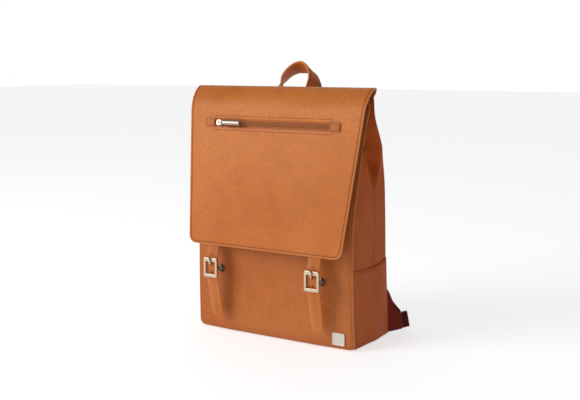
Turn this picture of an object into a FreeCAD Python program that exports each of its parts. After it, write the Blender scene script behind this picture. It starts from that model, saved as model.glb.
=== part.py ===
"""Leather flap backpack: bag, hinged flap with a zip pocket, buckle straps, handle and shoulder straps.

Millimetres. +X is to the right of someone who faces the bag's front, the front faces -Y, +Z is up,
and the origin is the middle of the flat base. "left" and "right" in the names are that viewer's.
"""

import math
import os

import FreeCAD
import Part
import Sketcher

V = FreeCAD.Vector
doc = FreeCAD.newDocument("LeatherBackpack")
sheet = doc.addObject("Spreadsheet::Sheet", "Sizes")

SIZES = {
    # leather and gaps
    "leather": 2.4,
    "gap": 0.3,
    # base
    "base_half": 140.0,
    "base_front": 59.0,
    "base_back": 55.0,
    "base_thick": 3.0,
    "board_thick": 2.4,
    "board_inset": 1.4,
    # heights of the bag's cross-sections
    "z_foot": 3.2,
    "z_seam": 118.0,
    "z_waist": 200.0,
    "z_fold": 245.0,
    "z_neck": 300.0,
    "z_mouth": 345.0,
    "z_top": 362.0,
    # outer face of the front at those heights, ahead of the origin
    "front_foot": 59.0,
    "front_seam": 62.2,
    "front_waist": 59.0,
    "front_fold": 48.5,
    "front_neck": 33.0,
    "front_mouth": 18.0,
    # outer face of the back at those heights, behind the origin
    "back_foot": 55.0,
    "back_seam": 41.0,
    "back_waist": 35.5,
    "back_fold": 31.5,
    "back_neck": 18.0,
    "back_mouth": 0.4,
    "back_top": -2.6,
    # how far the stuffed front stands out between its corners
    "bulge_foot": 0.0,
    "bulge_seam": 6.0,
    "bulge_waist": 5.0,
    "bulge_fold": 3.0,
    "bulge_neck": 0.0,
    "bulge_mouth": 0.0,
    "bulge_run": 45.0,
    # half widths of front and back panels
    "front_half_foot": 139.4,
    "front_half": 136.5,
    "back_half": 140.0,
    # crease line of the side gussets, half width at each height
    "crease_foot": 140.4,
    "crease_seam": 139.0,
    "crease_waist": 138.6,
    "crease_fold": 136.5,
    "crease_neck": 124.0,
    "crease_mouth": 117.0,
    "bead": 2.0,
    "bead_proud": 0.6,
    # inside
    "lining_thick": 1.0,
    "lining_clear": 1.8,
    "lining_crease_clear": 3.6,
    "lining_cut": 1.0,
    "padding_thick": 4.0,
    "padding_half": 130.0,
    "padding_top": 296.0,
    "padding_rise": 3.0,
    "padding_top_in": 0.9,
    "lining_top": 322.0,
    "sleeve_half": 116.0,
    "sleeve_thick": 4.0,
    "sleeve_gap": 22.0,
    "sleeve_rise": 5.0,
    "stud_radius": 6.0,
    "stud_thick": 2.0,
    "stud_height": 333.0,
    "stud_gap": 0.5,
    # flap: a strip sewn to the back, a fold on the ridge, and a straight run that leans forward
    "ridge_y": -30.0,
    "sheet_z": 380.8,
    "hinge_gap": 1.6,
    "root_bend": 12.0,
    "root_flat_y": -14.0,
    "root_half": 139.0,
    "root_drop_y": 1.9,
    "root_drop_z": 345.0,
    "root_inset": 0.8,
    "root_narrow_y": -6.0,
    "ridge_radius": 8.8,
    "shoulder_y": -35.05,
    "shoulder_z": 379.21,
    "fold_radius": 54.3,
    "fold_y": -57.47,
    "fold_z": 343.41,
    "hem_y": -90.32,
    "hem_z": 141.2,
    "ridge_half": 155.0,
    "hem_half": 133.8,
    "hem_corner": 12.0,
    "flap_tilt": 80.8,
    "flap_face_y": -91.5,
    "flap_face_z": 141.0,
    "flap_lining_low": 32.0,
    "flap_lining_in": 3.0,
    "flap_lining_lift": -7.0,
    # zip pocket, measured up the flap from its hem
    "zip_v": 187.4,
    "zip_half": 100.0,
    "zip_slot": 11.0,
    "zip_frame_half": 104.0,
    "zip_frame_high": 20.0,
    "zip_tab_long": 16.5,
    "zip_tab_high": 13.0,
    "zip_tab_thick": 2.0,
    "tape_over": 5.0,
    "tape_half": 8.5,
    "tape_thick": 0.8,
    "tape_lift": -3.5,
    "teeth_near": 0.15,
    "teeth_far": 2.6,
    "teeth_thick": 1.8,
    "teeth_lift": -2.6,
    "zip_frame_thick": 1.1,
    "on_leather": 0.1,
    "slider_x": -94.0,
    "slider_half": 6.0,
    "slider_high": 4.6,
    "slider_thick": 2.2,
    "slider_lift": -0.5,
    "bridge_half": 4.0,
    "bridge_high": 1.2,
    "bridge_thick": 1.3,
    "pull_radius": 4.0,
    "pull_long": 33.0,
    "pull_start": 8.8,
    "pull_lift": 6.9,
    "link_tail": 0.7,
    "link_tip": 8.4,
    "link_half": 2.4,
    "link_thick": 1.6,
    "link_lift": 3.6,
    "pocket_low": 92.0,
    "pocket_high": 196.0,
    "pocket_half": 108.0,
    "pocket_thick": 1.8,
    "pocket_lift": -5.6,
    # closure straps
    "strap_x": 90.0,
    "strap_wide": 20.0,
    "strap_thick": 2.6,
    "closure_root_low": -0.5,
    "closure_root_high": 28.0,
    "closure_root_lift": -5.4,
    "buckle_wide": 24.5,
    "buckle_high": 30.5,
    "buckle_deep": 3.0,
    "buckle_z": 106.7,
    "buckle_face": 97.4,
    "buckle_rim": 3.4,
    "buckle_low_bar": 4.8,
    "buckle_top_bar": 5.8,
    "prong_half": 1.2,
    "prong_low": 15.0,
    "prong_top": 1.4,
    "prong_thick": 1.8,
    "prong_out": 0.4,
    "buckle_tab_low": 1.5,
    "buckle_tab_top": 2.0,
    "buckle_tab_thick": 2.0,
    "buckle_tab_y": -87.5,
    "snap_radius": 5.5,
    "snap_z": 100.8,
    "snap_thick": 3.6,
    "snap_rim": 0.6,
    "snap_male_y": -83.6,
    "snap_female_y": -67.6,
    # badge plate
    "badge_side": 20.0,
    "badge_x": 115.5,
    "badge_z": 16.4,
    "badge_thick": 1.4,
    "badge_proud": 1.0,
    "badge_border": 1.6,
    "badge_recess": 0.4,
    # top handle
    "handle_wide": 25.0,
    "handle_thick": 3.6,
    "handle_y": 5.0,
    "handle_foot_x": 32.0,
    "handle_foot_z": 373.0,
    "handle_end_z": 369.2,
    "handle_top_z": 410.5,
    "handle_crown_y": 28.0,
    "handle_foot_low": 346.0,
    "handle_foot_out": 3.6,
    "patch_half": 62.0,
    "patch_low": 341.5,
    "patch_high": 366.0,
    "patch_low_out": 6.1,
    "patch_high_out": 5.6,
    "patch_thick": 2.0,
    # shoulder straps
    "pad_wide": 50.0,
    "pad_thick": 10.0,
    "webbing_wide": 30.0,
    "webbing_thick": 2.0,
    "yoke_thick": 3.0,
    "tab_low": 3.0,
    "tab_high": 68.0,
    "tab_long": 24.0,
    "tab_thick": 3.0,
    "tab_end": 27.0,
    "tab_turn": 72.0,
    "tab_root_out": 1.8,
    "tab_root_y": 53.0,
    "lock_long": 16.0,
    "lock_high": 27.0,
    "lock_thick": 4.0,
    "lock_lift": 1.0,
    "lock_rim": 3.0,
    "lock_bar": 2.6,
    "lock_slot": 3.8,
    "lock_middle": 3.2,
}
for row, (name, size) in enumerate(SIZES.items(), start=1):
    sheet.set("A%d" % row, name)
    sheet.set("B%d" % row, repr(size))
    sheet.setAlias("B%d" % row, name)
doc.recompute()


class Dim:
    """A size: its value, and the expression over the sheet's cells that it comes from."""

    def __init__(self, text, value):
        self.text = text
        self.value = value

    @staticmethod
    def of(other):
        return other if isinstance(other, Dim) else Dim("(%r)" % float(other), float(other))

    def _join(self, sign, other, value):
        return Dim("(%s %s %s)" % (self.text, sign, Dim.of(other).text), value)

    def __add__(self, other):
        return self._join("+", other, self.value + Dim.of(other).value)

    def __sub__(self, other):
        return self._join("-", other, self.value - Dim.of(other).value)

    def __mul__(self, other):
        return self._join("*", other, self.value * Dim.of(other).value)

    def __truediv__(self, other):
        return self._join("/", other, self.value / Dim.of(other).value)

    def __radd__(self, other):
        return Dim.of(other) + self

    def __rsub__(self, other):
        return Dim.of(other) - self

    def __rmul__(self, other):
        return Dim.of(other) * self

    def __neg__(self):
        return Dim("(0 - %s)" % self.text, -self.value)


def d(name):
    """The sheet's size of that name."""
    return Dim("Sizes." + name, float(SIZES[name]))


def blend(low, high, share):
    """The size that lies that share of the way from low to high."""
    return low + (Dim.of(high) - low) * share


nodes = []


def keep(obj, label):
    """Names a finished sub-part, which is written to its own file."""
    obj.Label = label
    nodes.append(obj)
    return obj


def new_body(label):
    body = doc.addObject("PartDesign::Body", "Body_" + label)
    return keep(body, label)


def origin_plane(body, role):
    return [f for f in body.Origin.OriginFeatures if f.Role == role][0]


def bind_base(obj, prop, point):
    """Binds the three coordinates of a placement's base to the sheet."""
    for axis, size in zip("xyz", point):
        obj.setExpression("%s.Base.%s" % (prop, axis), Dim.of(size).text)


def new_sketch(body, role="XY_Plane", offset=(0, 0, 0), rotation=None):
    sketch = body.newObject("Sketcher::SketchObject", "Sketch")
    sketch.AttachmentSupport = [(origin_plane(body, role), "")]
    sketch.MapMode = "FlatFace"
    base = V(*[Dim.of(size).value for size in offset])
    sketch.AttachmentOffset = FreeCAD.Placement(base, rotation or FreeCAD.Rotation())
    if any(isinstance(size, Dim) for size in offset):
        bind_base(sketch, "AttachmentOffset", offset)
    return sketch


def pin_point(sketch, edge, end, point):
    """Holds one end of an edge at a place bound to the sheet."""
    for kind, axis_line, size in zip(("DistanceX", "DistanceY"), (-2, -1), point):
        size = Dim.of(size)
        if abs(size.value) < 1e-9:
            sketch.addConstraint(Sketcher.Constraint("PointOnObject", edge, end, axis_line))
            continue
        number = sketch.addConstraint(Sketcher.Constraint(kind, -1, 1, edge, end, size.value))
        sketch.setExpression("Constraints[%d]" % number, size.text)


def add_loop(sketch, points):
    """A closed outline of straight edges through those points."""
    first = sketch.GeometryCount
    spots = [V(Dim.of(u).value, Dim.of(v).value, 0) for u, v in points]
    count = len(spots)
    for i in range(count):
        sketch.addGeometry(Part.LineSegment(spots[i], spots[(i + 1) % count]), False)
    for i in range(count):
        following = first + (i + 1) % count
        sketch.addConstraint(Sketcher.Constraint("Coincident", first + i, 2, following, 1))
        pin_point(sketch, first + i, 1, points[i])


def add_path(sketch, start, runs):
    """An open path: each run is (end point, None) for a line, or (end point, (radius, centre)) for an arc."""
    here = V(Dim.of(start[0]).value, Dim.of(start[1]).value, 0)
    last_end = None
    for number, (end, arc) in enumerate(runs):
        there = V(Dim.of(end[0]).value, Dim.of(end[1]).value, 0)
        near, far = 1, 2
        if arc is None:
            sketch.addGeometry(Part.LineSegment(here, there), False)
        else:
            radius, centre = Dim.of(arc[0]), V(arc[1][0], arc[1][1], 0)
            outward = ((here + there) * 0.5 - centre).normalize()
            sketch.addGeometry(Part.Arc(here, centre + outward * radius.value, there), False)
            # a sketch keeps every arc's ends in anticlockwise order
            if (here - centre).cross(there - centre).z < 0:
                near, far = 2, 1
        if number == 0:
            pin_point(sketch, 0, near, start)
        else:
            sketch.addConstraint(Sketcher.Constraint("Coincident", number - 1, last_end, number, near))
        pin_point(sketch, number, far, end)
        if arc is not None:
            constraint = sketch.addConstraint(Sketcher.Constraint("Radius", number, radius.value))
            sketch.setExpression("Constraints[%d]" % constraint, radius.text)
        here, last_end = there, far


def add_feature(body, kind, **settings):
    feature = body.newObject("PartDesign::" + kind, kind)
    for name, setting in settings.items():
        if isinstance(setting, Dim):
            feature.setExpression(name, setting.text)
        else:
            setattr(feature, name, setting)
    return feature


def box_points(half_u, low_v, high_v, shift=0):
    """A rectangle that is symmetric about u = shift."""
    left, right = shift - half_u, shift + half_u
    return [(left, low_v), (right, low_v), (right, high_v), (left, high_v)]


def loft(label, sections, body=None, kind="AdditiveLoft"):
    """A ruled loft through level outlines: each section is (height, points)."""
    body = body or new_body(label)
    sketches = []
    for height, points in sections:
        sketch = new_sketch(body, "XY_Plane", (0, 0, height))
        add_loop(sketch, points)
        sketches.append(sketch)
    add_feature(body, kind, Profile=sketches[0], Sections=sketches[1:], Ruled=True)
    return body


def pad(label, points, thickness, base=(0, 0, 0), rotation=None, symmetric=False, holes=()):
    """A plate cut to an outline, with its holes, in its own plane, then put in place."""
    body = new_body(label)
    sketch = new_sketch(body)
    add_loop(sketch, points)
    for hole in holes:
        add_loop(sketch, hole)
    add_feature(body, "Pad", Profile=sketch, Length=Dim.of(thickness), Midplane=symmetric)
    place(body, base, rotation)
    return body


def place(obj, base, rotation=None):
    spot = V(*[Dim.of(size).value for size in base])
    obj.Placement = FreeCAD.Placement(spot, rotation or FreeCAD.Rotation())
    bind_base(obj, "Placement", base)


def disc(label, radius, thickness, base, rotation):
    cylinder = doc.addObject("Part::Cylinder", "Disc_" + label)
    cylinder.setExpression("Radius", Dim.of(radius).text)
    cylinder.setExpression("Height", Dim.of(thickness).text)
    place(cylinder, base, rotation)
    return keep(cylinder, label)


def strip(label, stations, body=None):
    """A flat strap: each station is (centre, width direction, width, thickness), lofted in turn.

    The thickness runs square to the width and to the line from station to station.
    """
    body = body or new_body(label)
    sketches = []
    spots = [V(*[Dim.of(size).value for size in station[0]]) for station in stations]
    for i, (centre, across, wide, thick) in enumerate(stations):
        ahead = spots[min(i + 1, len(spots) - 1)] - spots[max(i - 1, 0)]
        along = ahead.normalize()
        across = V(*across)
        across = (across - along * across.dot(along)).normalize()
        turn = FreeCAD.Rotation(across, along.cross(across), along, "ZXY")
        sketch = new_sketch(body, "XY_Plane", centre, turn)
        add_loop(sketch, box_points(Dim.of(wide) / 2, -Dim.of(thick) / 2, Dim.of(thick) / 2))
        sketches.append(sketch)
    add_feature(body, "AdditiveLoft", Profile=sketches[0], Sections=sketches[1:], Ruled=True)
    return body


SIDES = (("left", -1), ("right", 1))
LEVELS = ("foot", "seam", "waist", "fold", "neck", "mouth")
STAND = FreeCAD.Rotation(V(1, 0, 0), 90)


def front_at(level):
    return -d("front_" + level)


def back_at(level):
    return d("back_" + level)


def front_half_at(level):
    return d("front_half_foot") if level == "foot" else d("front_half")


# ---------------------------------------------------------------- base
def make_base():
    base = new_body("base_panel")
    sketch = new_sketch(base)
    half = d("base_half")
    add_loop(sketch, box_points(half, -d("base_front"), d("base_back")))
    add_feature(base, "Pad", Profile=sketch, Length=d("base_thick"))
    inset = d("leather") + 2 * d("gap") + d("board_inset")
    pad(
        "base_board",
        box_points(half - inset, -d("base_front") + inset, d("base_back") - inset),
        d("board_thick"),
        (0, 0, d("base_thick") + d("gap")),
    )


# ---------------------------------------------------------------- leather shell
def make_front_panel():
    sections = []
    for level in LEVELS:
        face = front_at(level)
        half = front_half_at(level) - d("bead") - d("gap")
        flat = half - d("bulge_run")
        proud = face - d("bulge_" + level)
        outer = [(-half, face), (-flat, proud), (flat, proud), (half, face)]
        inner = [(x, y + d("leather")) for x, y in reversed(outer)]
        sections.append((d("z_" + level), outer + inner))
    loft("front_panel", sections)


def make_back_panel():
    sections = []
    for level in LEVELS + ("top",):
        face = back_at(level)
        sections.append((d("z_" + level), box_points(d("back_half"), face - d("leather"), face)))
    loft("back_panel", sections)


def side_points(level, side, creased):
    """The section of one side wall, from the front corner by the crease to the back corner."""
    front = (front_half_at(level), front_at(level) + d("leather") + d("gap"))
    back = (d("back_half"), back_at(level) - d("leather") - d("gap"))
    crease = (d("crease_" + level), blend(front[1], back[1], 0.5))
    outer = [front, crease, back] if creased else [front, back]
    inner = [(x - d("leather"), y) for x, y in reversed(outer)]
    return [(side * x, y) for x, y in outer + inner]


def make_sides():
    for name, side in SIDES:
        lower = [("foot", d("z_foot")), ("seam", d("z_seam") - d("gap"))]
        loft("side_yoke_" + name, [(z, side_points(level, side, False)) for level, z in lower])
        upper = [("seam", d("z_seam"))] + [(level, d("z_" + level)) for level in LEVELS[2:]]
        loft("gusset_" + name, [(z, side_points(level, side, True)) for level, z in upper])


def make_corner_beads():
    """The piped seam that runs up each front corner."""
    for name, side in SIDES:
        sections = []
        for level in LEVELS:
            middle = side * (front_half_at(level) - d("bead") / 2)
            face = front_at(level)
            low = face - d("bead_proud")
            high = low + d("bead") + d("bead_proud")
            sections.append((d("z_" + level), box_points(d("bead") / 2, low, high, middle)))
        loft("seam_piping_" + name, sections)


# ---------------------------------------------------------------- inside
def lining_points(level, inset):
    """The lining's outline at one level, a hexagon that follows the creased sides."""
    edge = d("leather") + 2 * d("gap") + inset
    front_y = front_at(level) + edge
    back_y = back_at(level) - edge - d("padding_thick") - 4 * d("gap")
    front_x = front_half_at(level) - edge - d("lining_clear")
    middle = blend(front_at(level), back_at(level), 0.5)
    share = (back_y - middle) / (back_at(level) - middle)
    back_x = blend(d("crease_" + level), d("back_half"), share) - edge - d("lining_clear")
    crease_x = d("crease_" + level) - edge - d("lining_crease_clear")
    middle_y = blend(front_y, back_y, 0.5)
    right = [(front_x, front_y), (crease_x, middle_y), (back_x, back_y)]
    return right + [(-x, y) for x, y in reversed(right)]


def lining_between(low, high, share, inset):
    below = lining_points(low, inset)
    above = lining_points(high, inset)
    return [(blend(a[0], b[0], share), blend(a[1], b[1], share)) for a, b in zip(below, above)]


def make_lining():
    floor = d("base_thick") + d("board_thick") + 2 * d("gap")
    top_share = (d("lining_top") - d("z_neck")) / (d("z_mouth") - d("z_neck"))
    levels = [(d("z_" + level), level) for level in LEVELS[1:-1]]

    def stack(bottom, inset, rise):
        sections = [(bottom, lining_points("foot", inset))]
        sections += [(z, lining_points(level, inset)) for z, level in levels]
        top = lining_between("neck", "mouth", top_share, inset)
        return sections + [(d("lining_top") + rise, top)]

    body = loft("lining", stack(floor, Dim.of(0), Dim.of(0)))
    thick = d("lining_thick")
    loft("lining", stack(floor + thick, thick, d("lining_cut")), body, "SubtractiveLoft")


def make_back_padding():
    sections = []
    outer = d("leather") + 3 * d("gap")
    inner = outer + d("padding_thick")
    for level in LEVELS[:5]:
        height = d("z_" + level)
        if level == "foot":
            height = height + d("padding_rise")
        if level == "neck":
            height = d("padding_top")
        face = back_at(level) + (d("padding_top_in") if level == "neck" else 0.0)
        sections.append((height, box_points(d("padding_half"), face - inner, face - outer)))
    loft("back_padding", sections)


def make_laptop_sleeve():
    sections = []
    behind = d("leather") + 5 * d("gap") + d("padding_thick") + d("lining_thick") + d("sleeve_gap")
    for level in ("foot", "seam", "waist", "fold"):
        height = d("z_" + level)
        if level == "foot":
            height = height + d("sleeve_rise")
        face = back_at(level) - behind
        sections.append((height, box_points(d("sleeve_half"), face - d("sleeve_thick"), face)))
    loft("laptop_sleeve", sections)


def make_mouth_studs():
    """The two halves of the magnetic stud that closes the mouth, on the inner faces of front and back."""
    share = (d("stud_height") - d("z_neck")) / (d("z_mouth") - d("z_neck"))
    rise = SIZES["z_mouth"] - SIZES["z_neck"]
    front_lean = math.degrees(math.atan((SIZES["front_neck"] - SIZES["front_mouth"]) / rise))
    back_lean = math.degrees(math.atan((SIZES["back_neck"] - SIZES["back_mouth"]) / rise))
    front_face = blend(front_at("neck"), front_at("mouth"), share) + d("leather") + d("stud_gap")
    back_face = blend(back_at("neck"), back_at("mouth"), share) - d("leather") - d("stud_gap")
    spot = (0, front_face, d("stud_height"))
    turn = FreeCAD.Rotation(V(1, 0, 0), -90 - front_lean)
    disc("mouth_stud_front", d("stud_radius"), d("stud_thick"), spot, turn)
    spot = (0, back_face, d("stud_height"))
    turn = FreeCAD.Rotation(V(1, 0, 0), 90 + back_lean)
    disc("mouth_stud_back", d("stud_radius"), d("stud_thick"), spot, turn)


# ---------------------------------------------------------------- flap
def bent_sheet(label, half, start, runs):
    """A sheet of leather that follows a path in the YZ plane."""
    body = new_body(label)
    path = new_sketch(body, "YZ_Plane")
    add_path(path, start, runs)
    profile = new_sketch(body, "XZ_Plane", (0, start[1], -start[0]))
    add_loop(profile, box_points(half, -d("leather") / 2, d("leather") / 2))
    add_feature(body, "AdditivePipe", Profile=profile, Spine=(path, [""]))
    return body


def make_flap_root():
    """The strip from the ridge back over the top and down the back, which the flap hangs from."""
    start = (d("ridge_y") + d("hinge_gap"), d("sheet_z"))
    bend_centre = (SIZES["root_flat_y"], SIZES["sheet_z"] - SIZES["root_bend"])
    runs = [
        ((d("root_flat_y"), d("sheet_z")), None),
        ((d("root_flat_y") + d("root_bend"), d("sheet_z") - d("root_bend")), (d("root_bend"), bend_centre)),
        ((d("root_drop_y"), d("root_drop_z")), None),
    ]
    body = bent_sheet("flap_root", d("ridge_half") - d("root_inset"), start, runs)
    doc.recompute()
    # the strip narrows from the ridge to the width of the back
    trim = new_sketch(body, "XY_Plane", (0, 0, 300.0))
    wide, narrow, out = d("ridge_half"), d("root_half"), d("ridge_half") + 10
    front, bend, rear = d("ridge_y") - 5, d("root_narrow_y"), d("ridge_y") + 60
    for side in (-1, 1):
        add_loop(trim, [
            (side * wide, front),
            (side * out, front),
            (side * out, rear),
            (side * narrow, rear),
            (side * narrow, bend),
        ])
    add_feature(body, "Pocket", Profile=trim, Length=Dim.of(120.0), Reversed=True)


def make_flap_panel():
    start = (d("ridge_y") - d("hinge_gap"), d("sheet_z"))
    ridge_centre = (SIZES["ridge_y"], SIZES["sheet_z"] - SIZES["ridge_radius"])
    lean = (SIZES["fold_y"] - SIZES["hem_y"]) / (SIZES["fold_z"] - SIZES["hem_z"])
    along = math.hypot(lean, 1)
    fold_centre = (
        SIZES["fold_y"] + SIZES["fold_radius"] / along,
        SIZES["fold_z"] - SIZES["fold_radius"] * lean / along,
    )
    runs = [
        ((d("shoulder_y"), d("shoulder_z")), (d("ridge_radius"), ridge_centre)),
        ((d("fold_y"), d("fold_z")), (d("fold_radius"), fold_centre)),
        ((d("hem_y"), d("hem_z")), None),
    ]
    body = bent_sheet("flap_panel", d("ridge_half"), start, runs)
    doc.recompute()
    # sides taper towards the hem, and the zip's slot goes through the upper part
    trim = new_sketch(body, "XZ_Plane", (0, 0, 130.0))
    out = d("ridge_half") + 10
    for side in (-1, 1):
        add_loop(trim, [
            (side * d("ridge_half"), d("sheet_z") + 2),
            (side * out, d("sheet_z") + 2),
            (side * out, d("hem_z") - 5),
            (side * d("hem_half"), d("hem_z") - 5),
        ])
    slot_middle = d("flap_face_z") + d("zip_v") * math.sin(math.radians(SIZES["flap_tilt"]))
    slot_half = d("zip_slot") / 2
    add_loop(trim, box_points(d("zip_half"), slot_middle - slot_half, slot_middle + slot_half))
    add_feature(body, "Pocket", Profile=trim, Length=Dim.of(130.0))
    doc.recompute()
    corners = []
    for number, edge in enumerate(body.Tip.Shape.Edges, start=1):
        low = edge.BoundBox.ZMax < SIZES["hem_z"] + 3
        wide = min(abs(v.X) for v in edge.Vertexes) > SIZES["hem_half"] - 3
        if low and wide and abs(edge.Length - SIZES["leather"]) < 0.3:
            corners.append("Edge%d" % number)
    add_feature(body, "Fillet", Base=(body.Tip, corners), Radius=d("hem_corner"))


ON_FLAP = FreeCAD.Rotation(V(1, 0, 0), SIZES["flap_tilt"])


def on_flap(lift, along=0, x=0):
    """A place on the flap's straight run: lift is out from its outer face, along is up from its hem."""
    tilt = math.radians(SIZES["flap_tilt"])
    lift = Dim.of(lift)
    along = Dim.of(along)
    y = d("flap_face_y") + along * math.cos(tilt) - lift * math.sin(tilt)
    z = d("flap_face_z") + along * math.sin(tilt) + lift * math.cos(tilt)
    return (x, y, z)


def make_flap_layers():
    half = d("hem_half") - d("flap_lining_in")
    outline = box_points(half, d("flap_lining_low"), d("pocket_high") + 2)
    pad("flap_lining", outline, d("lining_thick"), on_flap(d("flap_lining_lift")), ON_FLAP)
    outline = box_points(d("pocket_half"), d("pocket_low"), d("pocket_high"))
    pad("flap_pocket", outline, d("pocket_thick"), on_flap(d("pocket_lift")), ON_FLAP)


def make_zip():
    middle = d("zip_v")
    half = d("zip_half")
    slot = d("zip_slot") / 2
    pad("zip_tape", box_points(half + d("tape_over"), middle - d("tape_half"), middle + d("tape_half")),
        d("tape_thick"), on_flap(d("tape_lift")), ON_FLAP)
    for name, side in (("lower", -1), ("upper", 1)):
        inner = middle + side * d("teeth_near")
        outer = middle + side * d("teeth_far")
        low, high = (outer, inner) if side < 0 else (inner, outer)
        outline = box_points(half - 2, low, high)
        pad("zip_teeth_" + name, outline, d("teeth_thick"), on_flap(d("teeth_lift")), ON_FLAP)
    frame = d("zip_frame_high") / 2
    pad(
        "zip_frame",
        box_points(d("zip_frame_half"), middle - frame, middle + frame),
        d("zip_frame_thick"),
        on_flap(d("on_leather")),
        ON_FLAP,
        holes=[box_points(half, middle - slot, middle + slot)],
    )
    tab = d("zip_tab_long") / 2
    high = d("zip_tab_high") / 2
    for name, side in SIDES:
        shift = side * (d("zip_frame_half") + tab + d("gap"))
        outline = box_points(tab, middle - high, middle + high, shift)
        pad("zip_tab_" + name, outline, d("zip_tab_thick"), on_flap(d("on_leather")), ON_FLAP)


def make_slider():
    middle = d("zip_v")
    body = pad(
        "zip_slider",
        box_points(d("slider_half"), middle - d("slider_high"), middle + d("slider_high"), d("slider_x")),
        d("slider_thick"),
        on_flap(d("slider_lift")),
        ON_FLAP,
    )
    sketch = new_sketch(body, "XY_Plane", (0, 0, d("slider_thick")))
    high = d("bridge_high")
    add_loop(sketch, box_points(d("bridge_half"), middle - high, middle + high, d("slider_x")))
    add_feature(body, "Pad", Profile=sketch, Length=d("bridge_thick"))


def make_pull():
    """The tube-shaped pull lies along the zip, on a flat link that hooks over the slider."""
    middle = d("zip_v")
    tail, tip, half = d("slider_x") - d("link_tail"), d("slider_x") + d("link_tip"), d("link_half")
    outline = [(tail, middle - half), (tip, middle - half), (tip, middle + half), (tail, middle + half)]
    pad("zip_pull_link", outline, d("link_thick"), on_flap(d("link_lift")), ON_FLAP)
    tube = doc.addObject("Part::Cylinder", "PullTube")
    tube.setExpression("Radius", d("pull_radius").text)
    tube.setExpression("Height", d("pull_long").text)
    start = d("slider_x") + d("pull_start")
    place(tube, on_flap(d("pull_lift"), middle, start), FreeCAD.Rotation(V(0, 1, 0), 90))
    keep(tube, "zip_pull_tube")


# ---------------------------------------------------------------- closures
def make_closures():
    half = d("strap_wide") / 2
    for name, side in SIDES:
        x = side * d("strap_x")
        # the sewn end, between the flap and its lining
        outline = box_points(half, d("closure_root_low"), d("closure_root_high"), x)
        pad("closure_root_" + name, outline, d("strap_thick"), on_flap(d("closure_root_lift")), ON_FLAP)
        across = (1, 0, 0)
        wide, thick = d("strap_wide"), d("strap_thick")
        stations = [
            ((x, -87.9, 137.2), across, wide, thick),
            ((x, -91.4, 124.0), across, wide, thick),
            ((x, -92.3, 106.0), across, wide, thick),
            ((x, -91.0, 90.0), across, wide, thick),
            ((x, -84.0, 60.0), across, wide + 1, thick),
            ((x, -77.5, 36.0), across, wide - 2, thick),
            ((x, -75.0, 26.0), across, wide - 13, thick),
        ]
        strip("closure_strap_" + name, stations)
        make_buckle(name, x)


def make_buckle(name, x):
    bottom = d("buckle_z") - d("buckle_high") / 2
    top = d("buckle_z") + d("buckle_high") / 2
    half = d("buckle_wide") / 2
    back = -d("buckle_face") + d("buckle_deep")
    window = box_points(half - d("buckle_rim"), bottom + d("buckle_low_bar"), top - d("buckle_top_bar"), x)
    outline = box_points(half, bottom, top, x)
    pad("buckle_" + name, outline, d("buckle_deep"), (0, back, 0), STAND, holes=[window])
    prong = box_points(d("prong_half"), bottom + d("prong_low"), top - d("prong_top"), x)
    out = -d("buckle_face") - d("prong_out")
    pad("buckle_prong_" + name, prong, d("prong_thick"), (0, out, 0), STAND)
    tab = box_points(half - d("buckle_rim"), bottom + d("buckle_tab_low"), top + d("buckle_tab_top"), x)
    pad("buckle_tab_" + name, tab, d("buckle_tab_thick"), (0, d("buckle_tab_y"), 0), STAND)
    disc("snap_male_" + name, d("snap_radius"), d("snap_thick"), (x, d("snap_male_y"), d("snap_z")), STAND)
    radius = d("snap_radius") + d("snap_rim")
    disc("snap_female_" + name, radius, d("snap_thick"), (x, d("snap_female_y"), d("snap_z")), STAND)


# ---------------------------------------------------------------- badge
def make_badge():
    half = d("badge_side") / 2
    rise = SIZES["z_seam"] - SIZES["z_foot"]
    lean = math.degrees(math.atan((SIZES["front_seam"] - SIZES["front_foot"]) / rise))
    share = (d("badge_z") - d("z_foot")) / (d("z_seam") - d("z_foot"))
    face = blend(front_at("foot"), front_at("seam"), share) - d("badge_proud")
    turn = FreeCAD.Rotation(V(1, 0, 0), 90 + lean)
    spot = (d("badge_x"), face, d("badge_z"))
    body = pad("badge_plate", box_points(half, -half, half), d("badge_thick"), spot, turn)
    doc.recompute()
    front = d("badge_thick")
    recess = new_sketch(body, "XY_Plane", (0, 0, front))
    inner = half - d("badge_border")
    add_loop(recess, box_points(inner, -inner, inner))
    add_feature(body, "Pocket", Profile=recess, Length=d("badge_recess"))


# ---------------------------------------------------------------- handle
def make_handle():
    """An arch of flat strap that twists as it rises, and leans back at its crown."""
    foot_x, foot_z, y = d("handle_foot_x"), d("handle_foot_z"), d("handle_y")
    arch = [  # half the span at this height, y, height, turn of the width from X towards Y, lean of the width
        (foot_x, y, foot_z, 0, 0),
        (Dim.of(30.5), Dim.of(10.5), Dim.of(382.5), 52, -3),
        (Dim.of(28.0), Dim.of(15.0), Dim.of(391.0), 82, -5),
        (Dim.of(16.0), Dim.of(23.0), Dim.of(405.0), 92, 22),
        (Dim.of(0), d("handle_crown_y"), d("handle_top_z"), 90, 46),
    ]
    stations = []
    for side, half in ((-1, arch), (1, arch[-2::-1])):
        for x, depth, height, turn, lean in half:
            turn, lean = math.radians(turn), math.radians(lean)
            spread = math.sin(turn)
            across = (-side * math.cos(turn), -spread * math.cos(lean), spread * math.sin(lean))
            stations.append(((side * x, depth, height), across, d("handle_wide"), d("handle_thick")))
    strip("handle", stations)
    foot_y = d("root_drop_y") + d("handle_foot_out")
    for name, side in SIDES:
        stations = [
            ((side * foot_x, y, d("handle_end_z")), (1, 0, 0), d("handle_wide"), d("handle_thick")),
            ((side * foot_x, foot_y, d("handle_foot_low")), (1, 0, 0), d("handle_wide"), d("handle_thick")),
        ]
        strip("handle_end_" + name, stations)
    sections = []
    for level in ("low", "high"):
        near = d("root_drop_y") + d("patch_%s_out" % level)
        sections.append((d("patch_" + level), box_points(d("patch_half"), near, near + d("patch_thick"))))
    loft("handle_patch", sections)


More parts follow.
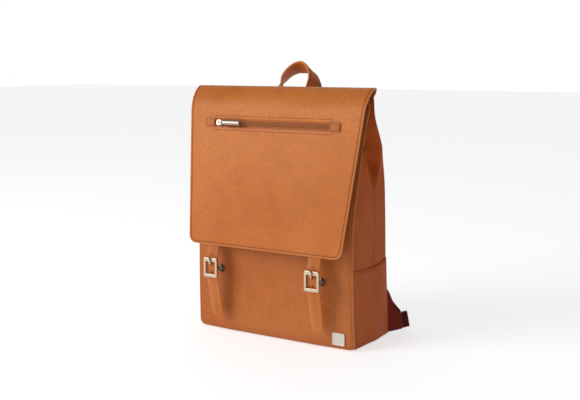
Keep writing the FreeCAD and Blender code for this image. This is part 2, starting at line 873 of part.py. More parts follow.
# ---------------------------------------------------------------- shoulder straps
def make_shoulder_straps():
    across = (1, 0, 0)
    wide, thick = d("pad_wide"), d("pad_thick")
    for name, side in SIDES:
        stations = [
            ((side * 48.0, 24.0, 331.0), across, wide - 16, thick - 4),
            ((side * 49.0, 38.0, 315.0), across, wide, thick),
            ((side * 53.0, 58.0, 284.0), across, wide, thick),
            ((side * 60.0, 73.0, 235.0), across, wide, thick),
            ((side * 70.0, 81.0, 180.0), across, wide, thick),
            ((side * 81.0, 83.0, 125.0), across, wide - 4, thick),
            ((side * 94.0, 81.0, 84.0), across, wide - 14, thick - 2),
        ]
        strip("shoulder_pad_" + name, stations)
        wide_web, thick_web = d("webbing_wide"), d("webbing_thick")
        stations = [
            ((side * 95.5, 80.8, 80.0), (1, 0, 0.3 * -side), wide_web, thick_web),
            ((side * 108.0, 81.2, 55.0), (0.8, 0, 0.6 * side), wide_web, thick_web),
            ((side * 124.0, 82.5, 34.0), (0.45, 0, 0.9 * side), wide_web, thick_web),
            ((side * 139.5, 84.5, 20.5), (0.1, 0, 1.0 * side), wide_web, thick_web),
        ]
        strip("shoulder_webbing_" + name, stations)
        strip("strap_yoke_" + name, [
            ((side * 48.0, 10.0, 338.0), across, wide - 6, d("yoke_thick")),
            ((side * 48.0, 17.6, 325.0), across, wide - 6, d("yoke_thick")),
            ((side * 48.0, 24.8, 308.0), across, wide - 6, d("yoke_thick")),
        ])
        make_strap_tab(name, side)


def make_strap_tab(name, side):
    """The triangular tab sewn in the lower back corner, and the bar buckle at its end."""
    turn = SIZES["tab_turn"] if side > 0 else 180 - SIZES["tab_turn"]
    rotation = FreeCAD.Rotation(V(0, 0, 1), turn) * FreeCAD.Rotation(V(1, 0, 0), 90)
    base = (side * (d("back_half") + d("tab_root_out")), d("tab_root_y"), 0)
    low = d("tab_low")
    end = d("tab_long")
    outline = [
        (0.0, low + 2.0),
        (end, low),
        (end, low + d("tab_end")),
        (end * 0.6, low + d("tab_end") + 10),
        (end * 0.25, low + d("tab_end") + 24),
        (0.0, d("tab_high")),
    ]
    pad("strap_tab_" + name, outline, d("tab_thick"), base, rotation, True)
    start = end + d("gap")
    lock_end = start + d("lock_long")
    lock_low = low + d("lock_lift")
    top = lock_low + d("lock_high")

    def slot(near):
        far = near + d("lock_slot")
        low_edge, high_edge = lock_low + d("lock_rim"), top - d("lock_rim")
        return [(near, low_edge), (far, low_edge), (far, high_edge), (near, high_edge)]

    outline = [(start, lock_low), (lock_end, lock_low), (lock_end, top), (start, top)]
    first = start + d("lock_bar")
    holes = [slot(first), slot(first + d("lock_slot") + d("lock_middle"))]
    pad("adjuster_" + name, outline, d("lock_thick"), base, rotation, True, holes)


make_base()
make_front_panel()
make_back_panel()
make_sides()
make_corner_beads()
make_lining()
make_back_padding()
make_laptop_sleeve()
make_mouth_studs()
make_flap_root()
make_flap_panel()
make_flap_layers()
make_zip()
make_slider()
make_pull()
make_closures()
make_badge()
make_handle()
make_shoulder_straps()
doc.recompute()

faults = [o.Name for o in doc.Objects if any(s in ("Invalid", "Error") for s in o.State)]
if faults:
    raise RuntimeError("these objects failed: %s" % faults)
os.makedirs("parts", exist_ok=True)
for node in nodes:
    shape = node.Shape
    if shape.isNull() or not shape.isValid() or shape.Volume <= 0:
        raise RuntimeError("%s has no valid solid" % node.Label)
    print("%-24s %9.1f mm3  solids %d" % (node.Label, shape.Volume, len(shape.Solids)))
for node in nodes:
    node.Shape.exportStep("parts/%s.step" % node.Label)
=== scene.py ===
"""The leather backpack's looks: leather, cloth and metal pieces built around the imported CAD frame."""

import math

import bmesh
import bpy
import numpy as np
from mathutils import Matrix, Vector


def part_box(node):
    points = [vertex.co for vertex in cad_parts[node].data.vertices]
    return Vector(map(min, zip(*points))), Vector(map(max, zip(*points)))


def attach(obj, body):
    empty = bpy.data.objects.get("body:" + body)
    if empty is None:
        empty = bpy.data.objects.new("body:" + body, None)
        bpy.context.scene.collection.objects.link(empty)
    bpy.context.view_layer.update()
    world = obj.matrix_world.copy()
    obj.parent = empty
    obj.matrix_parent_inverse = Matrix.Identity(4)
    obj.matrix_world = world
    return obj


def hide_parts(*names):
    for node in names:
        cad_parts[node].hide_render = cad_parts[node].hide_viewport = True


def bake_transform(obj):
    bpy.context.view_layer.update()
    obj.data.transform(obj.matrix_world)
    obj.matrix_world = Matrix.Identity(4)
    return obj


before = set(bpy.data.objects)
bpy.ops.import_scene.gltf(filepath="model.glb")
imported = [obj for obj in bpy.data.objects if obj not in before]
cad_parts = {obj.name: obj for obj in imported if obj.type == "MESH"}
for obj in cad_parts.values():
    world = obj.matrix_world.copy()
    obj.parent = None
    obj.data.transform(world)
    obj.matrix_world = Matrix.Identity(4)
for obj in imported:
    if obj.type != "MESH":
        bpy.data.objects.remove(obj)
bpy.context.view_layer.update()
MM = 0.001
SIDES = (("left", -1), ("right", 1))
scene = bpy.context.scene

# places in millimetres that several pieces share
STRAP_X = 90.0
BUCKLE_Z = 106.7
BUCKLE_FACE = -97.4
SNAP_Z = 100.8
SLIDER_X = -94.0
BADGE_X, BADGE_Z = 115.5, 16.4
HANDLE_X, HANDLE_WIDE, HANDLE_THICK = 32.0, 25.0, 3.4
PATCH_Z = 353.8
YOKE_X = 48.0
TAB_TURN = 72.0
TAB_LONG, TAB_SLANT, TAB_SLANT_TOP = 24.0, 0.26, 31.0


# ---------------------------------------------------------------- camera, light and floor
def make_view():
    place = Vector((0.7648, -1.2364, 0.4187))
    aim = Vector((-0.00625, 0.0, 0.20577))
    data = bpy.data.cameras.new("camera")
    data.sensor_width = 36.0
    data.lens = 58.67
    data.clip_end = 60.0
    camera = bpy.data.objects.new("camera", data)
    camera.location = place
    camera.rotation_euler = (aim - place).to_track_quat("-Z", "Y").to_euler()
    scene.collection.objects.link(camera)
    scene.camera = camera


def make_lamp(name, place, aim, size, power, tint):
    data = bpy.data.lights.new(name, "AREA")
    data.shape = "RECTANGLE"
    data.size, data.size_y = size
    data.energy = power
    data.color = tint
    lamp = bpy.data.objects.new(name, data)
    lamp.location = place
    lamp.rotation_euler = (Vector(aim) - Vector(place)).to_track_quat("-Z", "Y").to_euler()
    scene.collection.objects.link(lamp)


def make_light():
    world = bpy.data.worlds.new("studio")
    world.use_nodes = True
    nodes, links = world.node_tree.nodes, world.node_tree.links
    sky = nodes["Background"]
    sky.inputs["Strength"].default_value = 1.0
    # white behind the bag, softer grey where black flags would stand
    facing = add_node(nodes, "ShaderNodeVectorMath", operation="DOT_PRODUCT")
    links.new(add_node(nodes, "ShaderNodeTexCoord").outputs["Generated"], facing.inputs[0])
    facing.inputs[1].default_value = (-0.53, 0.848, 0.0)
    level = ramp(nodes, links, facing.outputs["Value"], 0.34, 1.0, 0.5, 0.9)
    links.new(level, sky.inputs["Color"])
    scene.world = world
    make_lamp("key", (-1.5, -2.1, 1.35), (0, 0, 0.22), (1.5, 1.5), 46.0, (1.0, 0.985, 0.96))


def make_floor():
    reach, cells, drop = 12.0, 24, 0.0006
    steps = np.linspace(-reach, reach, cells + 1)
    points = [(x, y, -drop) for y in steps for x in steps]
    wide = cells + 1
    faces = [
        (r * wide + c, r * wide + c + 1, (r + 1) * wide + c + 1, (r + 1) * wide + c)
        for r in range(cells)
        for c in range(cells)
    ]
    mesh = bpy.data.meshes.new("floor")
    mesh.from_pydata(points, [], faces)
    floor = bpy.data.objects.new("floor", mesh)
    scene.collection.objects.link(floor)
    material, _, _, shader = new_material("floor_paper", (0.6, 0.61, 0.62), 0.85)
    shader.inputs["Emission Color"].default_value = (1.0, 1.0, 1.0, 1.0)
    shader.inputs["Emission Strength"].default_value = 0.62
    mesh.materials.append(material)


# ---------------------------------------------------------------- materials
def new_material(name, colour, rough, metal=0.0):
    material = bpy.data.materials.new(name)
    material.use_nodes = True
    nodes, links = material.node_tree.nodes, material.node_tree.links
    shader = nodes["Principled BSDF"]
    shader.inputs["Base Color"].default_value = (*colour, 1.0)
    shader.inputs["Roughness"].default_value = rough
    shader.inputs["Metallic"].default_value = metal
    return material, nodes, links, shader


def srgb(r, g, b):
    def channel(value):
        value /= 255.0
        return value / 12.92 if value <= 0.04045 else ((value + 0.055) / 1.055) ** 2.4

    return (channel(r), channel(g), channel(b))


def add_node(nodes, kind, **values):
    node = nodes.new(kind)
    for key, value in values.items():
        if key in node.inputs:
            node.inputs[key].default_value = value
        else:
            setattr(node, key, value)
    return node


def noise(nodes, links, where, scale, detail=3.0, rough=0.5, stretch=None):
    node = add_node(nodes, "ShaderNodeTexNoise", Scale=scale, Detail=detail, Roughness=rough)
    if stretch:
        mapping = add_node(nodes, "ShaderNodeMapping", Scale=stretch)
        links.new(where, mapping.inputs["Vector"])
        where = mapping.outputs["Vector"]
    links.new(where, node.inputs["Vector"])
    return node.outputs["Fac"]


def ramp(nodes, links, value, low, high, start=0.0, end=1.0):
    node = add_node(nodes, "ShaderNodeMapRange")
    links.new(value, node.inputs["Value"])
    for key, number in (("From Min", start), ("From Max", end), ("To Min", low), ("To Max", high)):
        node.inputs[key].default_value = number
    return node.outputs["Result"]


def mix_colour(nodes, links, share, first, second):
    """A blend of two colours, each a socket or three numbers."""
    node = nodes.new("ShaderNodeMix")
    node.data_type = "RGBA"
    factor = [s for s in node.inputs if s.name == "Factor" and s.type == "VALUE"][0]
    a = [s for s in node.inputs if s.name == "A" and s.type == "RGBA"][0]
    b = [s for s in node.inputs if s.name == "B" and s.type == "RGBA"][0]
    for socket, value in ((factor, share), (a, first), (b, second)):
        if isinstance(value, bpy.types.NodeSocket):
            links.new(value, socket)
        elif isinstance(value, tuple):
            socket.default_value = (*value, 1.0)
        else:
            socket.default_value = value
    return [s for s in node.outputs if s.type == "RGBA"][0]


def bump(nodes, links, shader, heights):
    """Adds layers of bump: each is (height socket, strength, distance in metres)."""
    normal = None
    for height, strength, distance in heights:
        node = add_node(nodes, "ShaderNodeBump", Strength=strength, Distance=distance)
        links.new(height, node.inputs["Height"])
        if normal:
            links.new(normal, node.inputs["Normal"])
        normal = node.outputs["Normal"]
    links.new(normal, shader.inputs["Normal"])


def leather(name, light, dark, deep, rough=0.44, grain=1.0, patch=6.5, edge=None, specular=0.22):
    """Smooth full-grain leather: soft patches of tone, fine pebbled grain, wear and seam shade from attributes."""
    material, nodes, links, shader = new_material(name, light, rough)
    where = add_node(nodes, "ShaderNodeTexCoord").outputs["Object"]
    cloud = ramp(nodes, links, noise(nodes, links, where, patch, 2.0, 0.5), 0.0, 1.0, 0.32, 0.68)
    tone = mix_colour(nodes, links, cloud, dark, light)
    fleck = ramp(nodes, links, noise(nodes, links, where, 260.0, 4.0, 0.65), 0.0, 0.32, 0.35, 0.8)
    tone = mix_colour(nodes, links, fleck, tone, deep)
    streak = ramp(nodes, links, noise(nodes, links, where, 34.0, 3.0, 0.6), 0.0, 0.16, 0.45, 0.75)
    tone = mix_colour(nodes, links, streak, tone, deep)
    shade = add_node(nodes, "ShaderNodeAttribute", attribute_name="shade").outputs["Fac"]
    tone = mix_colour(nodes, links, shade, tone, deep)
    worn = add_node(nodes, "ShaderNodeAttribute", attribute_name="worn").outputs["Fac"]
    pale = edge or tuple(min(1.0, c * 1.25) for c in light)
    tone = mix_colour(nodes, links, worn, tone, pale)
    links.new(tone, shader.inputs["Base Color"])
    cells = add_node(nodes, "ShaderNodeTexVoronoi", Scale=1150.0)
    links.new(where, cells.inputs["Vector"])
    fine = noise(nodes, links, where, 2600.0, 3.0, 0.6)
    soft = noise(nodes, links, where, 62.0, 3.0, 0.55)
    bump(
        nodes,
        links,
        shader,
        (
            (soft, 0.16, 0.0012),
            (cells.outputs["Distance"], 0.20 * grain, 0.00016),
            (fine, 0.16 * grain, 0.00008),
        ),
    )
    gloss = ramp(nodes, links, noise(nodes, links, where, 90.0, 4.0, 0.6), rough - 0.05, rough + 0.08)
    links.new(gloss, shader.inputs["Roughness"])
    shader.inputs["Specular IOR Level"].default_value = specular
    return material


def metal(name, colour, rough=0.2, brush=(1.0, 1.0, 1.0), strength=0.1):
    material, nodes, links, shader = new_material(name, colour, rough, 1.0)
    where = add_node(nodes, "ShaderNodeTexCoord").outputs["Object"]
    lines = noise(nodes, links, where, 900.0, 4.0, 0.7, brush)
    links.new(ramp(nodes, links, lines, rough - 0.06, rough + 0.12), shader.inputs["Roughness"])
    tarnish = ramp(nodes, links, noise(nodes, links, where, 120.0, 3.0, 0.6), 0.0, 0.35, 0.4, 0.9)
    dim = tuple(c * 0.72 for c in colour)
    links.new(mix_colour(nodes, links, tarnish, colour, dim), shader.inputs["Base Color"])
    bump(nodes, links, shader, ((lines, strength, 0.00005),))
    return material


def cloth(name, light, dark, pitch=0.0011, rough=0.85, sheen=0.25, specular=0.5):
    """Plain woven cloth: two crossed sets of threads, with slubs."""
    material, nodes, links, shader = new_material(name, light, rough)
    where = add_node(nodes, "ShaderNodeTexCoord").outputs["Object"]
    waves = []
    for axis in ("X", "Z"):
        wave = add_node(nodes, "ShaderNodeTexWave", Scale=1.0 / pitch / math.tau * 2, Distortion=0.6)
        wave.bands_direction = axis
        wave.inputs["Detail Scale"].default_value = 3.0
        links.new(where, wave.inputs["Vector"])
        waves.append(wave.outputs["Fac"])
    both = add_node(nodes, "ShaderNodeMath", operation="MULTIPLY")
    links.new(waves[0], both.inputs[0])
    links.new(waves[1], both.inputs[1])
    slub = noise(nodes, links, where, 300.0, 4.0, 0.6, (1.0, 1.0, 0.15))
    tone = mix_colour(nodes, links, both.outputs[0], dark, light)
    tone = mix_colour(nodes, links, ramp(nodes, links, slub, 0.0, 0.4, 0.4, 0.8), tone, dark)
    links.new(tone, shader.inputs["Base Color"])
    bump(nodes, links, shader, ((both.outputs[0], 0.35, 0.0003), (slub, 0.2, 0.0003)))
    shader.inputs["Sheen Weight"].default_value = sheen
    shader.inputs["Specular IOR Level"].default_value = specular
    return material


def plain(name, colour, rough, grain=400.0, strength=0.15):
    material, nodes, links, shader = new_material(name, colour, rough)
    where = add_node(nodes, "ShaderNodeTexCoord").outputs["Object"]
    fine = noise(nodes, links, where, grain, 4.0, 0.6)
    dim = tuple(c * 0.7 for c in colour)
    links.new(
        mix_colour(nodes, links, ramp(nodes, links, fine, 0.0, 0.6, 0.35, 0.75), colour, dim),
        shader.inputs["Base Color"]
    )
    bump(nodes, links, shader, ((fine, strength, 0.0002),))
    return material


# ---------------------------------------------------------------- mesh tools, in millimetres
def curve(keys, values, at):
    """Smooth values at the places asked for, through rows of values at rising keys."""
    keys = np.asarray(keys, float)
    values = np.asarray(values, float)
    at = np.clip(np.asarray(at, float), keys[0], keys[-1])
    slopes = np.gradient(values, keys, axis=0)
    low = np.clip(np.searchsorted(keys, at, side="right") - 1, 0, len(keys) - 2)
    gap = (keys[low + 1] - keys[low])
    t = (at - keys[low]) / gap
    if values.ndim > 1:
        t, gap = t[..., None], gap[..., None]
    a, b = values[low], values[low + 1]
    return (
        a * (2 * t**3 - 3 * t**2 + 1)
        + slopes[low] * gap * (t**3 - 2 * t**2 + t)
        + b * (3 * t**2 - 2 * t**3)
        + slopes[low + 1] * gap * (t**3 - t**2)
    )


def lengths(points):
    return np.concatenate([[0.0], np.cumsum(np.linalg.norm(np.diff(points, axis=0), axis=1))])


def unit(rows):
    return rows / np.maximum(np.linalg.norm(rows, axis=-1, keepdims=True), 1e-9)


def make(name, points, faces, looks, sharp=None, marks=None):
    """A mesh object from points in millimetres; marks are float attributes by name, one value a point."""
    points = np.asarray(points, float).reshape(-1, 3) * MM
    mesh = bpy.data.meshes.new(name)
    mesh.from_pydata(points.tolist(), [], [tuple(int(i) for i in face) for face in faces])
    for material in looks if isinstance(looks, (list, tuple)) else [looks]:
        mesh.materials.append(material)
    for key, values in (marks or {}).items():
        layer = mesh.attributes.new(key, "FLOAT", "POINT")
        layer.data.foreach_set("value", np.asarray(values, np.float32).ravel())
    mesh.polygons.foreach_set("use_smooth", [True] * len(mesh.polygons))
    mesh.update()
    obj = bpy.data.objects.new(name, mesh)
    scene.collection.objects.link(obj)
    if sharp:
        mesh.set_sharp_from_angle(angle=math.radians(sharp))
    return obj


def settle(obj, sharp=35):
    """Applies every modifier and keeps crisp edges crisp."""
    depsgraph = bpy.context.evaluated_depsgraph_get()
    mesh = bpy.data.meshes.new_from_object(obj.evaluated_get(depsgraph))
    obj.modifiers.clear()
    old, obj.data = obj.data, mesh
    bpy.data.meshes.remove(old)
    mesh.polygons.foreach_set("use_smooth", [True] * len(mesh.polygons))
    mesh.set_sharp_from_angle(angle=math.radians(sharp))
    return obj


def soften(obj, width, segments=2, angle=40):
    bevel = obj.modifiers.new("bevel", "BEVEL")
    bevel.width = width * MM
    bevel.segments = segments
    bevel.limit_method = "ANGLE"
    bevel.angle_limit = math.radians(angle)
    bevel.harden_normals = False
    return settle(obj)


def grid_faces(rows, cols, loop=False, hole=None):
    faces = []
    wide = cols if loop else cols - 1
    for r in range(rows - 1):
        for c in range(wide):
            if hole is not None and hole(r, c):
                continue
            d = (c + 1) % cols
            faces.append((r * cols + c, r * cols + d, (r + 1) * cols + d, (r + 1) * cols + c))
    return faces


def sheet(
    name, grid, looks, thick=2.4, edge=0.7, hole=None, marks=None, flip=False, segments=2, even=True
):
    """A sheet of leather from a grid of points on its outer face.

    Its rim takes the second material, and its inner face the third.
    """
    rows, cols = grid.shape[:2]
    faces = grid_faces(rows, cols, hole=hole)
    if flip:
        faces = [face[::-1] for face in faces]
    obj = make(name, grid, faces, looks, marks=marks)
    if hole is not None:
        tidy_loose(obj)
    solid = obj.modifiers.new("thick", "SOLIDIFY")
    solid.thickness = thick * MM
    solid.offset = -1.0
    solid.use_even_offset = even
    solid.use_quality_normals = True
    solid.use_rim = True
    solid.material_offset_rim = 1 if len(obj.data.materials) > 1 else 0
    if len(obj.data.materials) > 2:
        solid.material_offset = 2
    if edge:
        return soften(obj, edge, segments, 50)
    return settle(obj)


def tidy_loose(obj):
    """Takes away the points that no face uses."""
    bm = bmesh.new()
    bm.from_mesh(obj.data)
    bmesh.ops.delete(bm, geom=[v for v in bm.verts if not v.link_faces], context="VERTS")
    bm.to_mesh(obj.data)
    bm.free()


def frames(centres, across):
    """Unit tangent, width and face directions along a strap."""
    tangent = unit(np.gradient(centres, axis=0))
    across = unit(across - tangent * np.sum(across * tangent, axis=1, keepdims=True))
    return tangent, across, np.cross(across, tangent)


def strap(name, stations, looks, step=2.0, inset=3.0, crease=0.35, crown=None, round_edge=0.9):
    """A flat strap through stations (x, y, z, across x, y, z, width, thickness).

    A creased line runs inside each edge, and crown(distance) lifts its middle.
    """
    stations = np.asarray(stations, float)
    keys = lengths(stations[:, :3])
    count = max(4, int(keys[-1] / step) + 1)
    at = np.linspace(0.0, keys[-1], count)
    rows = curve(keys, stations, at)
    tangent, across, face = frames(rows[:, :3], rows[:, 3:6])
    points = []
    worn = []
    for i in range(count):
        half, deep = rows[i, 6] / 2, rows[i, 7] / 2
        r = min(round_edge, deep * 0.95)
        line = max(half - inset, half * 0.35)
        rise = crown(at[i]) if crown else 0.0
        top = [
            (-half, deep - r, 1), (-half + 0.3 * r, deep - 0.3 * r, 1), (-half + r, deep, 0.4),
            (-line - 0.7, deep, 0), (-line, deep - crease, 0), (-line + 0.7, deep, 0),
            (-line * 0.55, deep + rise * 0.75, 0),
            (0, deep + rise, 0),
            (line * 0.55, deep + rise * 0.75, 0),
            (line - 0.7, deep, 0), (line, deep - crease, 0), (line + 0.7, deep, 0),
            (half - r, deep, 0.4), (half - 0.3 * r, deep - 0.3 * r, 1), (half, deep - r, 1),
        ]
        low = [
            (half, -deep + r, 1), (half - 0.3 * r, -deep + 0.3 * r, 1), (half - r, -deep, 0.4),
            (0, -deep, 0),
            (-half + r, -deep, 0.4), (-half + 0.3 * r, -deep + 0.3 * r, 1), (-half, -deep + r, 1),
        ]
        for u, v, wear in top + low:
            points.append(rows[i, :3] + across[i] * u + face[i] * v)
            worn.append(wear)
    ring = len(points) // count
    faces = grid_faces(count, ring, loop=True)
    faces.append(tuple(range(ring))[::-1])
    faces.append(tuple(range((count - 1) * ring, count * ring)))
    obj = make(name, points, faces, looks, sharp=42, marks={"worn": worn})
    return obj, (rows, tangent, across, face)


def tube(name, centres, radii, looks, sides=12):
    """A round rod through the points, with domed ends where its radii shrink."""
    centres = np.asarray(centres, float)
    tangent = unit(np.gradient(centres, axis=0))
    side = np.cross(tangent, np.where(np.abs(tangent[:, 2:3]) < 0.9, (0.0, 0.0, 1.0), (0.0, 1.0, 0.0)))
    for i in range(1, len(side)):
        side[i] = side[i - 1] - tangent[i] * np.dot(side[i - 1], tangent[i])
    side = unit(side)
    up = np.cross(tangent, side)
    turn = np.linspace(0, math.tau, sides, endpoint=False)
    radii = np.broadcast_to(np.asarray(radii, float), (len(centres),))
    round_u, round_v = np.cos(turn)[None, :, None], np.sin(turn)[None, :, None]
    rim = round_u * side[:, None, :] + round_v * up[:, None, :]
    points = centres[:, None, :] + radii[:, None, None] * rim
    count = len(centres)
    faces = grid_faces(count, sides, loop=True)
    faces.append(tuple(range(sides))[::-1])
    faces.append(tuple(range((count - 1) * sides, count * sides)))
    return make(name, points, faces, looks, sharp=50)


def lathe(name, profile, centre, axis, looks, sides=40, sharp=30):
    """A turned part: profile is (distance along the axis, radius), with radius 0 at closed ends."""
    axis = unit(np.asarray(axis, float))
    side = unit(np.cross(axis, (0.0, 0.0, 1.0) if abs(axis[2]) < 0.9 else (1.0, 0.0, 0.0)))
    up = np.cross(axis, side)
    turn = np.linspace(0, math.tau, sides, endpoint=False)
    points, rings = [], []
    for along, radius in profile:
        spot = np.asarray(centre, float) + axis * along
        if radius < 1e-6:
            rings.append([len(points)])
            points.append(spot)
        else:
            rings.append(list(range(len(points), len(points) + sides)))
            points.extend(spot + radius * (np.cos(turn)[:, None] * side + np.sin(turn)[:, None] * up))
    faces = []
    for a, b in zip(rings, rings[1:]):
        for c in range(sides):
            d = (c + 1) % sides
            if len(a) == 1:
                faces.append((a[0], b[d], b[c]))
            elif len(b) == 1:
                faces.append((a[c], a[d], b[0]))
            else:
                faces.append((a[c], a[d], b[d], b[c]))
    return make(name, points, faces, looks, sharp=sharp)


def rounded(half_u, half_v, radius, steps=5):
    """A rounded rectangle, anticlockwise, the same count of points whatever its size."""
    points = []
    for cu, cv, start in ((1, 1, 0), (-1, 1, 90), (-1, -1, 180), (1, -1, 270)):
        for k in range(steps):
            angle = math.radians(start + 90 * k / (steps - 1))
            u = cu * (half_u - radius) + radius * math.cos(angle)
            v = cv * (half_v - radius) + radius * math.sin(angle)
            points.append((u, v))
    return np.array(points)


def plate(name, outer, inner, depth, place, looks, edge=0.5, segments=3, shift=(0, 0)):
    """A flat ring, or a plate where inner is None: loops in (u, v), set out by place(u, v, w)."""
    outer = np.asarray(outer, float)
    count = len(outer)
    loops = [(outer, 0.0), (outer, depth)]
    if inner is not None:
        inner = np.asarray(inner, float) + np.asarray(shift, float)
        loops = [(inner, 0.0), (outer, 0.0), (outer, depth), (inner, depth)]
    points = [place(u, v, w) for loop, w in loops for u, v in loop]
    faces = []
    for k in range(len(loops) - 1):
        for c in range(count):
            d = (c + 1) % count
            faces.append((k * count + c, k * count + d, (k + 1) * count + d, (k + 1) * count + c))
    if inner is None:
        faces.append(tuple(range(count))[::-1])
        faces.append(tuple(range(count, 2 * count)))
    else:
        last = 3 * count
        faces += [(last + c, last + (c + 1) % count, (c + 1) % count, c) for c in range(count)]
    obj = make(name, points, faces, looks)
    return soften(obj, edge, segments, 40)


def resample(points, pitch):
    """Points an even step apart along a line."""
    keys = lengths(points)
    count = max(2, int(round(keys[-1] / pitch)))
    at = (np.arange(count) + 0.5) * keys[-1] / count
    return np.stack([np.interp(at, keys, points[:, k]) for k in range(points.shape[1])], axis=1)


def stitches(name, points, normals, looks, pitch=3.2, long=2.2, radius=0.36, lift=0.1):
    """A row of saddle stitches: short threads that dive into the leather at both ends."""
    points = np.asarray(points, float)
    normals = np.broadcast_to(np.asarray(normals, float), points.shape)
    rows = resample(np.concatenate([points, normals], axis=1), pitch)
    middle, out = rows[:, :3], unit(rows[:, 3:])
    along = unit(np.gradient(middle, axis=0))
    side = np.cross(along, out)
    shape = (
        (-0.5, 0.35, -0.6), (-0.36, 0.85, 0.1), (0.0, 1.0, 0.5), (0.36, 0.85, 0.1), (0.5, 0.35, -0.6)
    )
    sides = 6
    turn = np.linspace(0, math.tau, sides, endpoint=False)
    points, faces = [], []
    for i in range(len(middle)):
        base = len(points)
        for share, size, rise in shape:
            spot = middle[i] + along[i] * share * long + out[i] * (lift + rise * radius)
            for angle in turn:
                points.append(
                    spot + radius * size * (math.cos(angle) * side[i] + math.sin(angle) * out[i])
                )
        for k in range(len(shape) - 1):
            for c in range(sides):
                d = (c + 1) % sides
                near, far = base + k * sides, base + (k + 1) * sides
                faces.append((near + c, near + d, far + d, far + c))
        faces.append(tuple(base + c for c in range(sides))[::-1])
        faces.append(tuple(base + (len(shape) - 1) * sides + c for c in range(sides)))
    return make(name, points, faces, looks)


def fit(obj, body, slot, *nodes):
    """Rides a piece on a body and hides the CAD nodes it stands for; the slot is not used."""
    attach(obj, body)
    if nodes:
        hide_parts(*nodes)
    return obj


def sew(name, points, normals, thread, body, slot):
    """A row of stitches that rides on one body."""
    return fit(stitches(name, points, normals, LOOKS[thread]), body, slot)


def cut_holes(obj, holes, radius):
    """Punches round holes: each is (centre, direction)."""
    bar = ((-6, 0), (-6, radius), (6, radius), (6, 0))
    for centre, axis in holes:
        drill = lathe("drill", bar, centre, axis, obj.data.materials[-1], 20)
        knife = obj.modifiers.new("hole", "BOOLEAN")
        knife.object = drill
        knife.operation = "DIFFERENCE"
        knife.solver = "EXACT"
        settle(obj, 42)
        bpy.data.objects.remove(drill)
    return obj


# ---------------------------------------------------------------- looks by slot
TAN = srgb(204, 121, 54)
TAN_DARK = srgb(192, 104, 36)
TAN_DEEP = srgb(120, 50, 14)
# painted shade: the body's leather is a somewhat darker copy of the flap's tan, standing for the shade that falls on
# the body
BODY_SHADED = srgb(190, 110, 54)
BODY_SHADED_DARK = srgb(180, 98, 42)
# painted shade: the sides' leather is a darker, more saturated copy of the body's tan, standing for the shade on the
# faces turned away from the key lamp
SIDE_SHADED = srgb(174, 82, 20)
SIDE_SHADED_DARK = srgb(162, 70, 14)
BROWN = srgb(118, 28, 4)

make_view()
make_light()
make_floor()

LOOKS = {
    "leather_flap": leather("leather_flap", TAN, TAN_DARK, TAN_DEEP, 0.42),
    # painted shade: the shell takes the body's darker copy of the tan
    "leather_shell": leather("leather_shell", BODY_SHADED, BODY_SHADED_DARK, TAN_DEEP, 0.46),
    # painted shade: the sides' shaded copy of the leather, with its sheen turned down as well
    "leather_side_shaded": leather("leather_side_shaded", SIDE_SHADED, SIDE_SHADED_DARK, TAN_DEEP, 0.46, specular=0.1),
    "leather_trim": leather(
        "leather_trim", srgb(190, 110, 54), srgb(178, 96, 40), TAN_DEEP, 0.44, 1.0, 12.0
    ),
    "leather_dark": leather(
        "leather_dark", BROWN, srgb(98, 21, 3), srgb(50, 10, 2), 0.55, 1.0, 12.0, srgb(104, 40, 16), 0.06
    ),
    "suede": plain("leather_reverse", srgb(150, 88, 50), 0.9, 900.0, 0.5),
    "edge": leather("edge_paint", srgb(184, 108, 62), srgb(166, 90, 48), TAN_DEEP, 0.5, 0.4, 20.0),
    "thread": plain("thread", srgb(158, 88, 44), 0.7, 3000.0, 0.3),
    "thread_dark": plain("thread_dark", srgb(96, 40, 14), 0.75, 3000.0, 0.3),
    "webbing": cloth("webbing", srgb(96, 18, 8), srgb(52, 8, 4), 0.0016, 0.8, 0.03, 0.08),
    "lining_cloth": cloth("lining_cloth", srgb(196, 178, 152), srgb(150, 130, 104), 0.0009),
    "zip_cloth": cloth("zip_cloth", srgb(196, 122, 68), srgb(164, 92, 46), 0.0008),
    "padding_foam": plain("padding_foam", srgb(92, 88, 84), 0.95, 1400.0, 0.6),
    "stiffener": plain("stiffener", srgb(60, 52, 46), 0.7, 500.0, 0.2),
    "polished_metal": metal("polished_metal", srgb(204, 188, 164), 0.2, (1.0, 1.0, 1.0), 0.05),
    "zip_metal": metal("zip_metal", srgb(178, 160, 148), 0.3, (0.05, 1.0, 1.0), 0.22),
    "badge_metal": metal("badge_metal", srgb(212, 208, 196), 0.34, (0.06, 1.0, 1.0), 0.2),
    "coil": plain("zip_coil", srgb(184, 110, 58), 0.5, 2000.0, 0.2),
    # painted shade: the snaps' metal is a darkened copy of the polished metal, standing for the shade they sit in
    # behind the buckles
    "snap_metal_shaded": metal("snap_metal_shaded", srgb(112, 98, 88), 0.3, (1.0, 1.0, 1.0), 0.05),
    "adjuster_metal": metal("adjuster_metal", srgb(120, 72, 60), 0.3, (1.0, 1.0, 0.1), 0.1),
}
SHELL = (LOOKS["leather_shell"], LOOKS["edge"], LOOKS["suede"])
SIDE_SHADED_SHELL = (LOOKS["leather_side_shaded"], LOOKS["edge"], LOOKS["suede"])
FLAP = (LOOKS["leather_flap"], LOOKS["edge"], LOOKS["suede"])
TRIM = (LOOKS["leather_trim"], LOOKS["edge"], LOOKS["suede"])


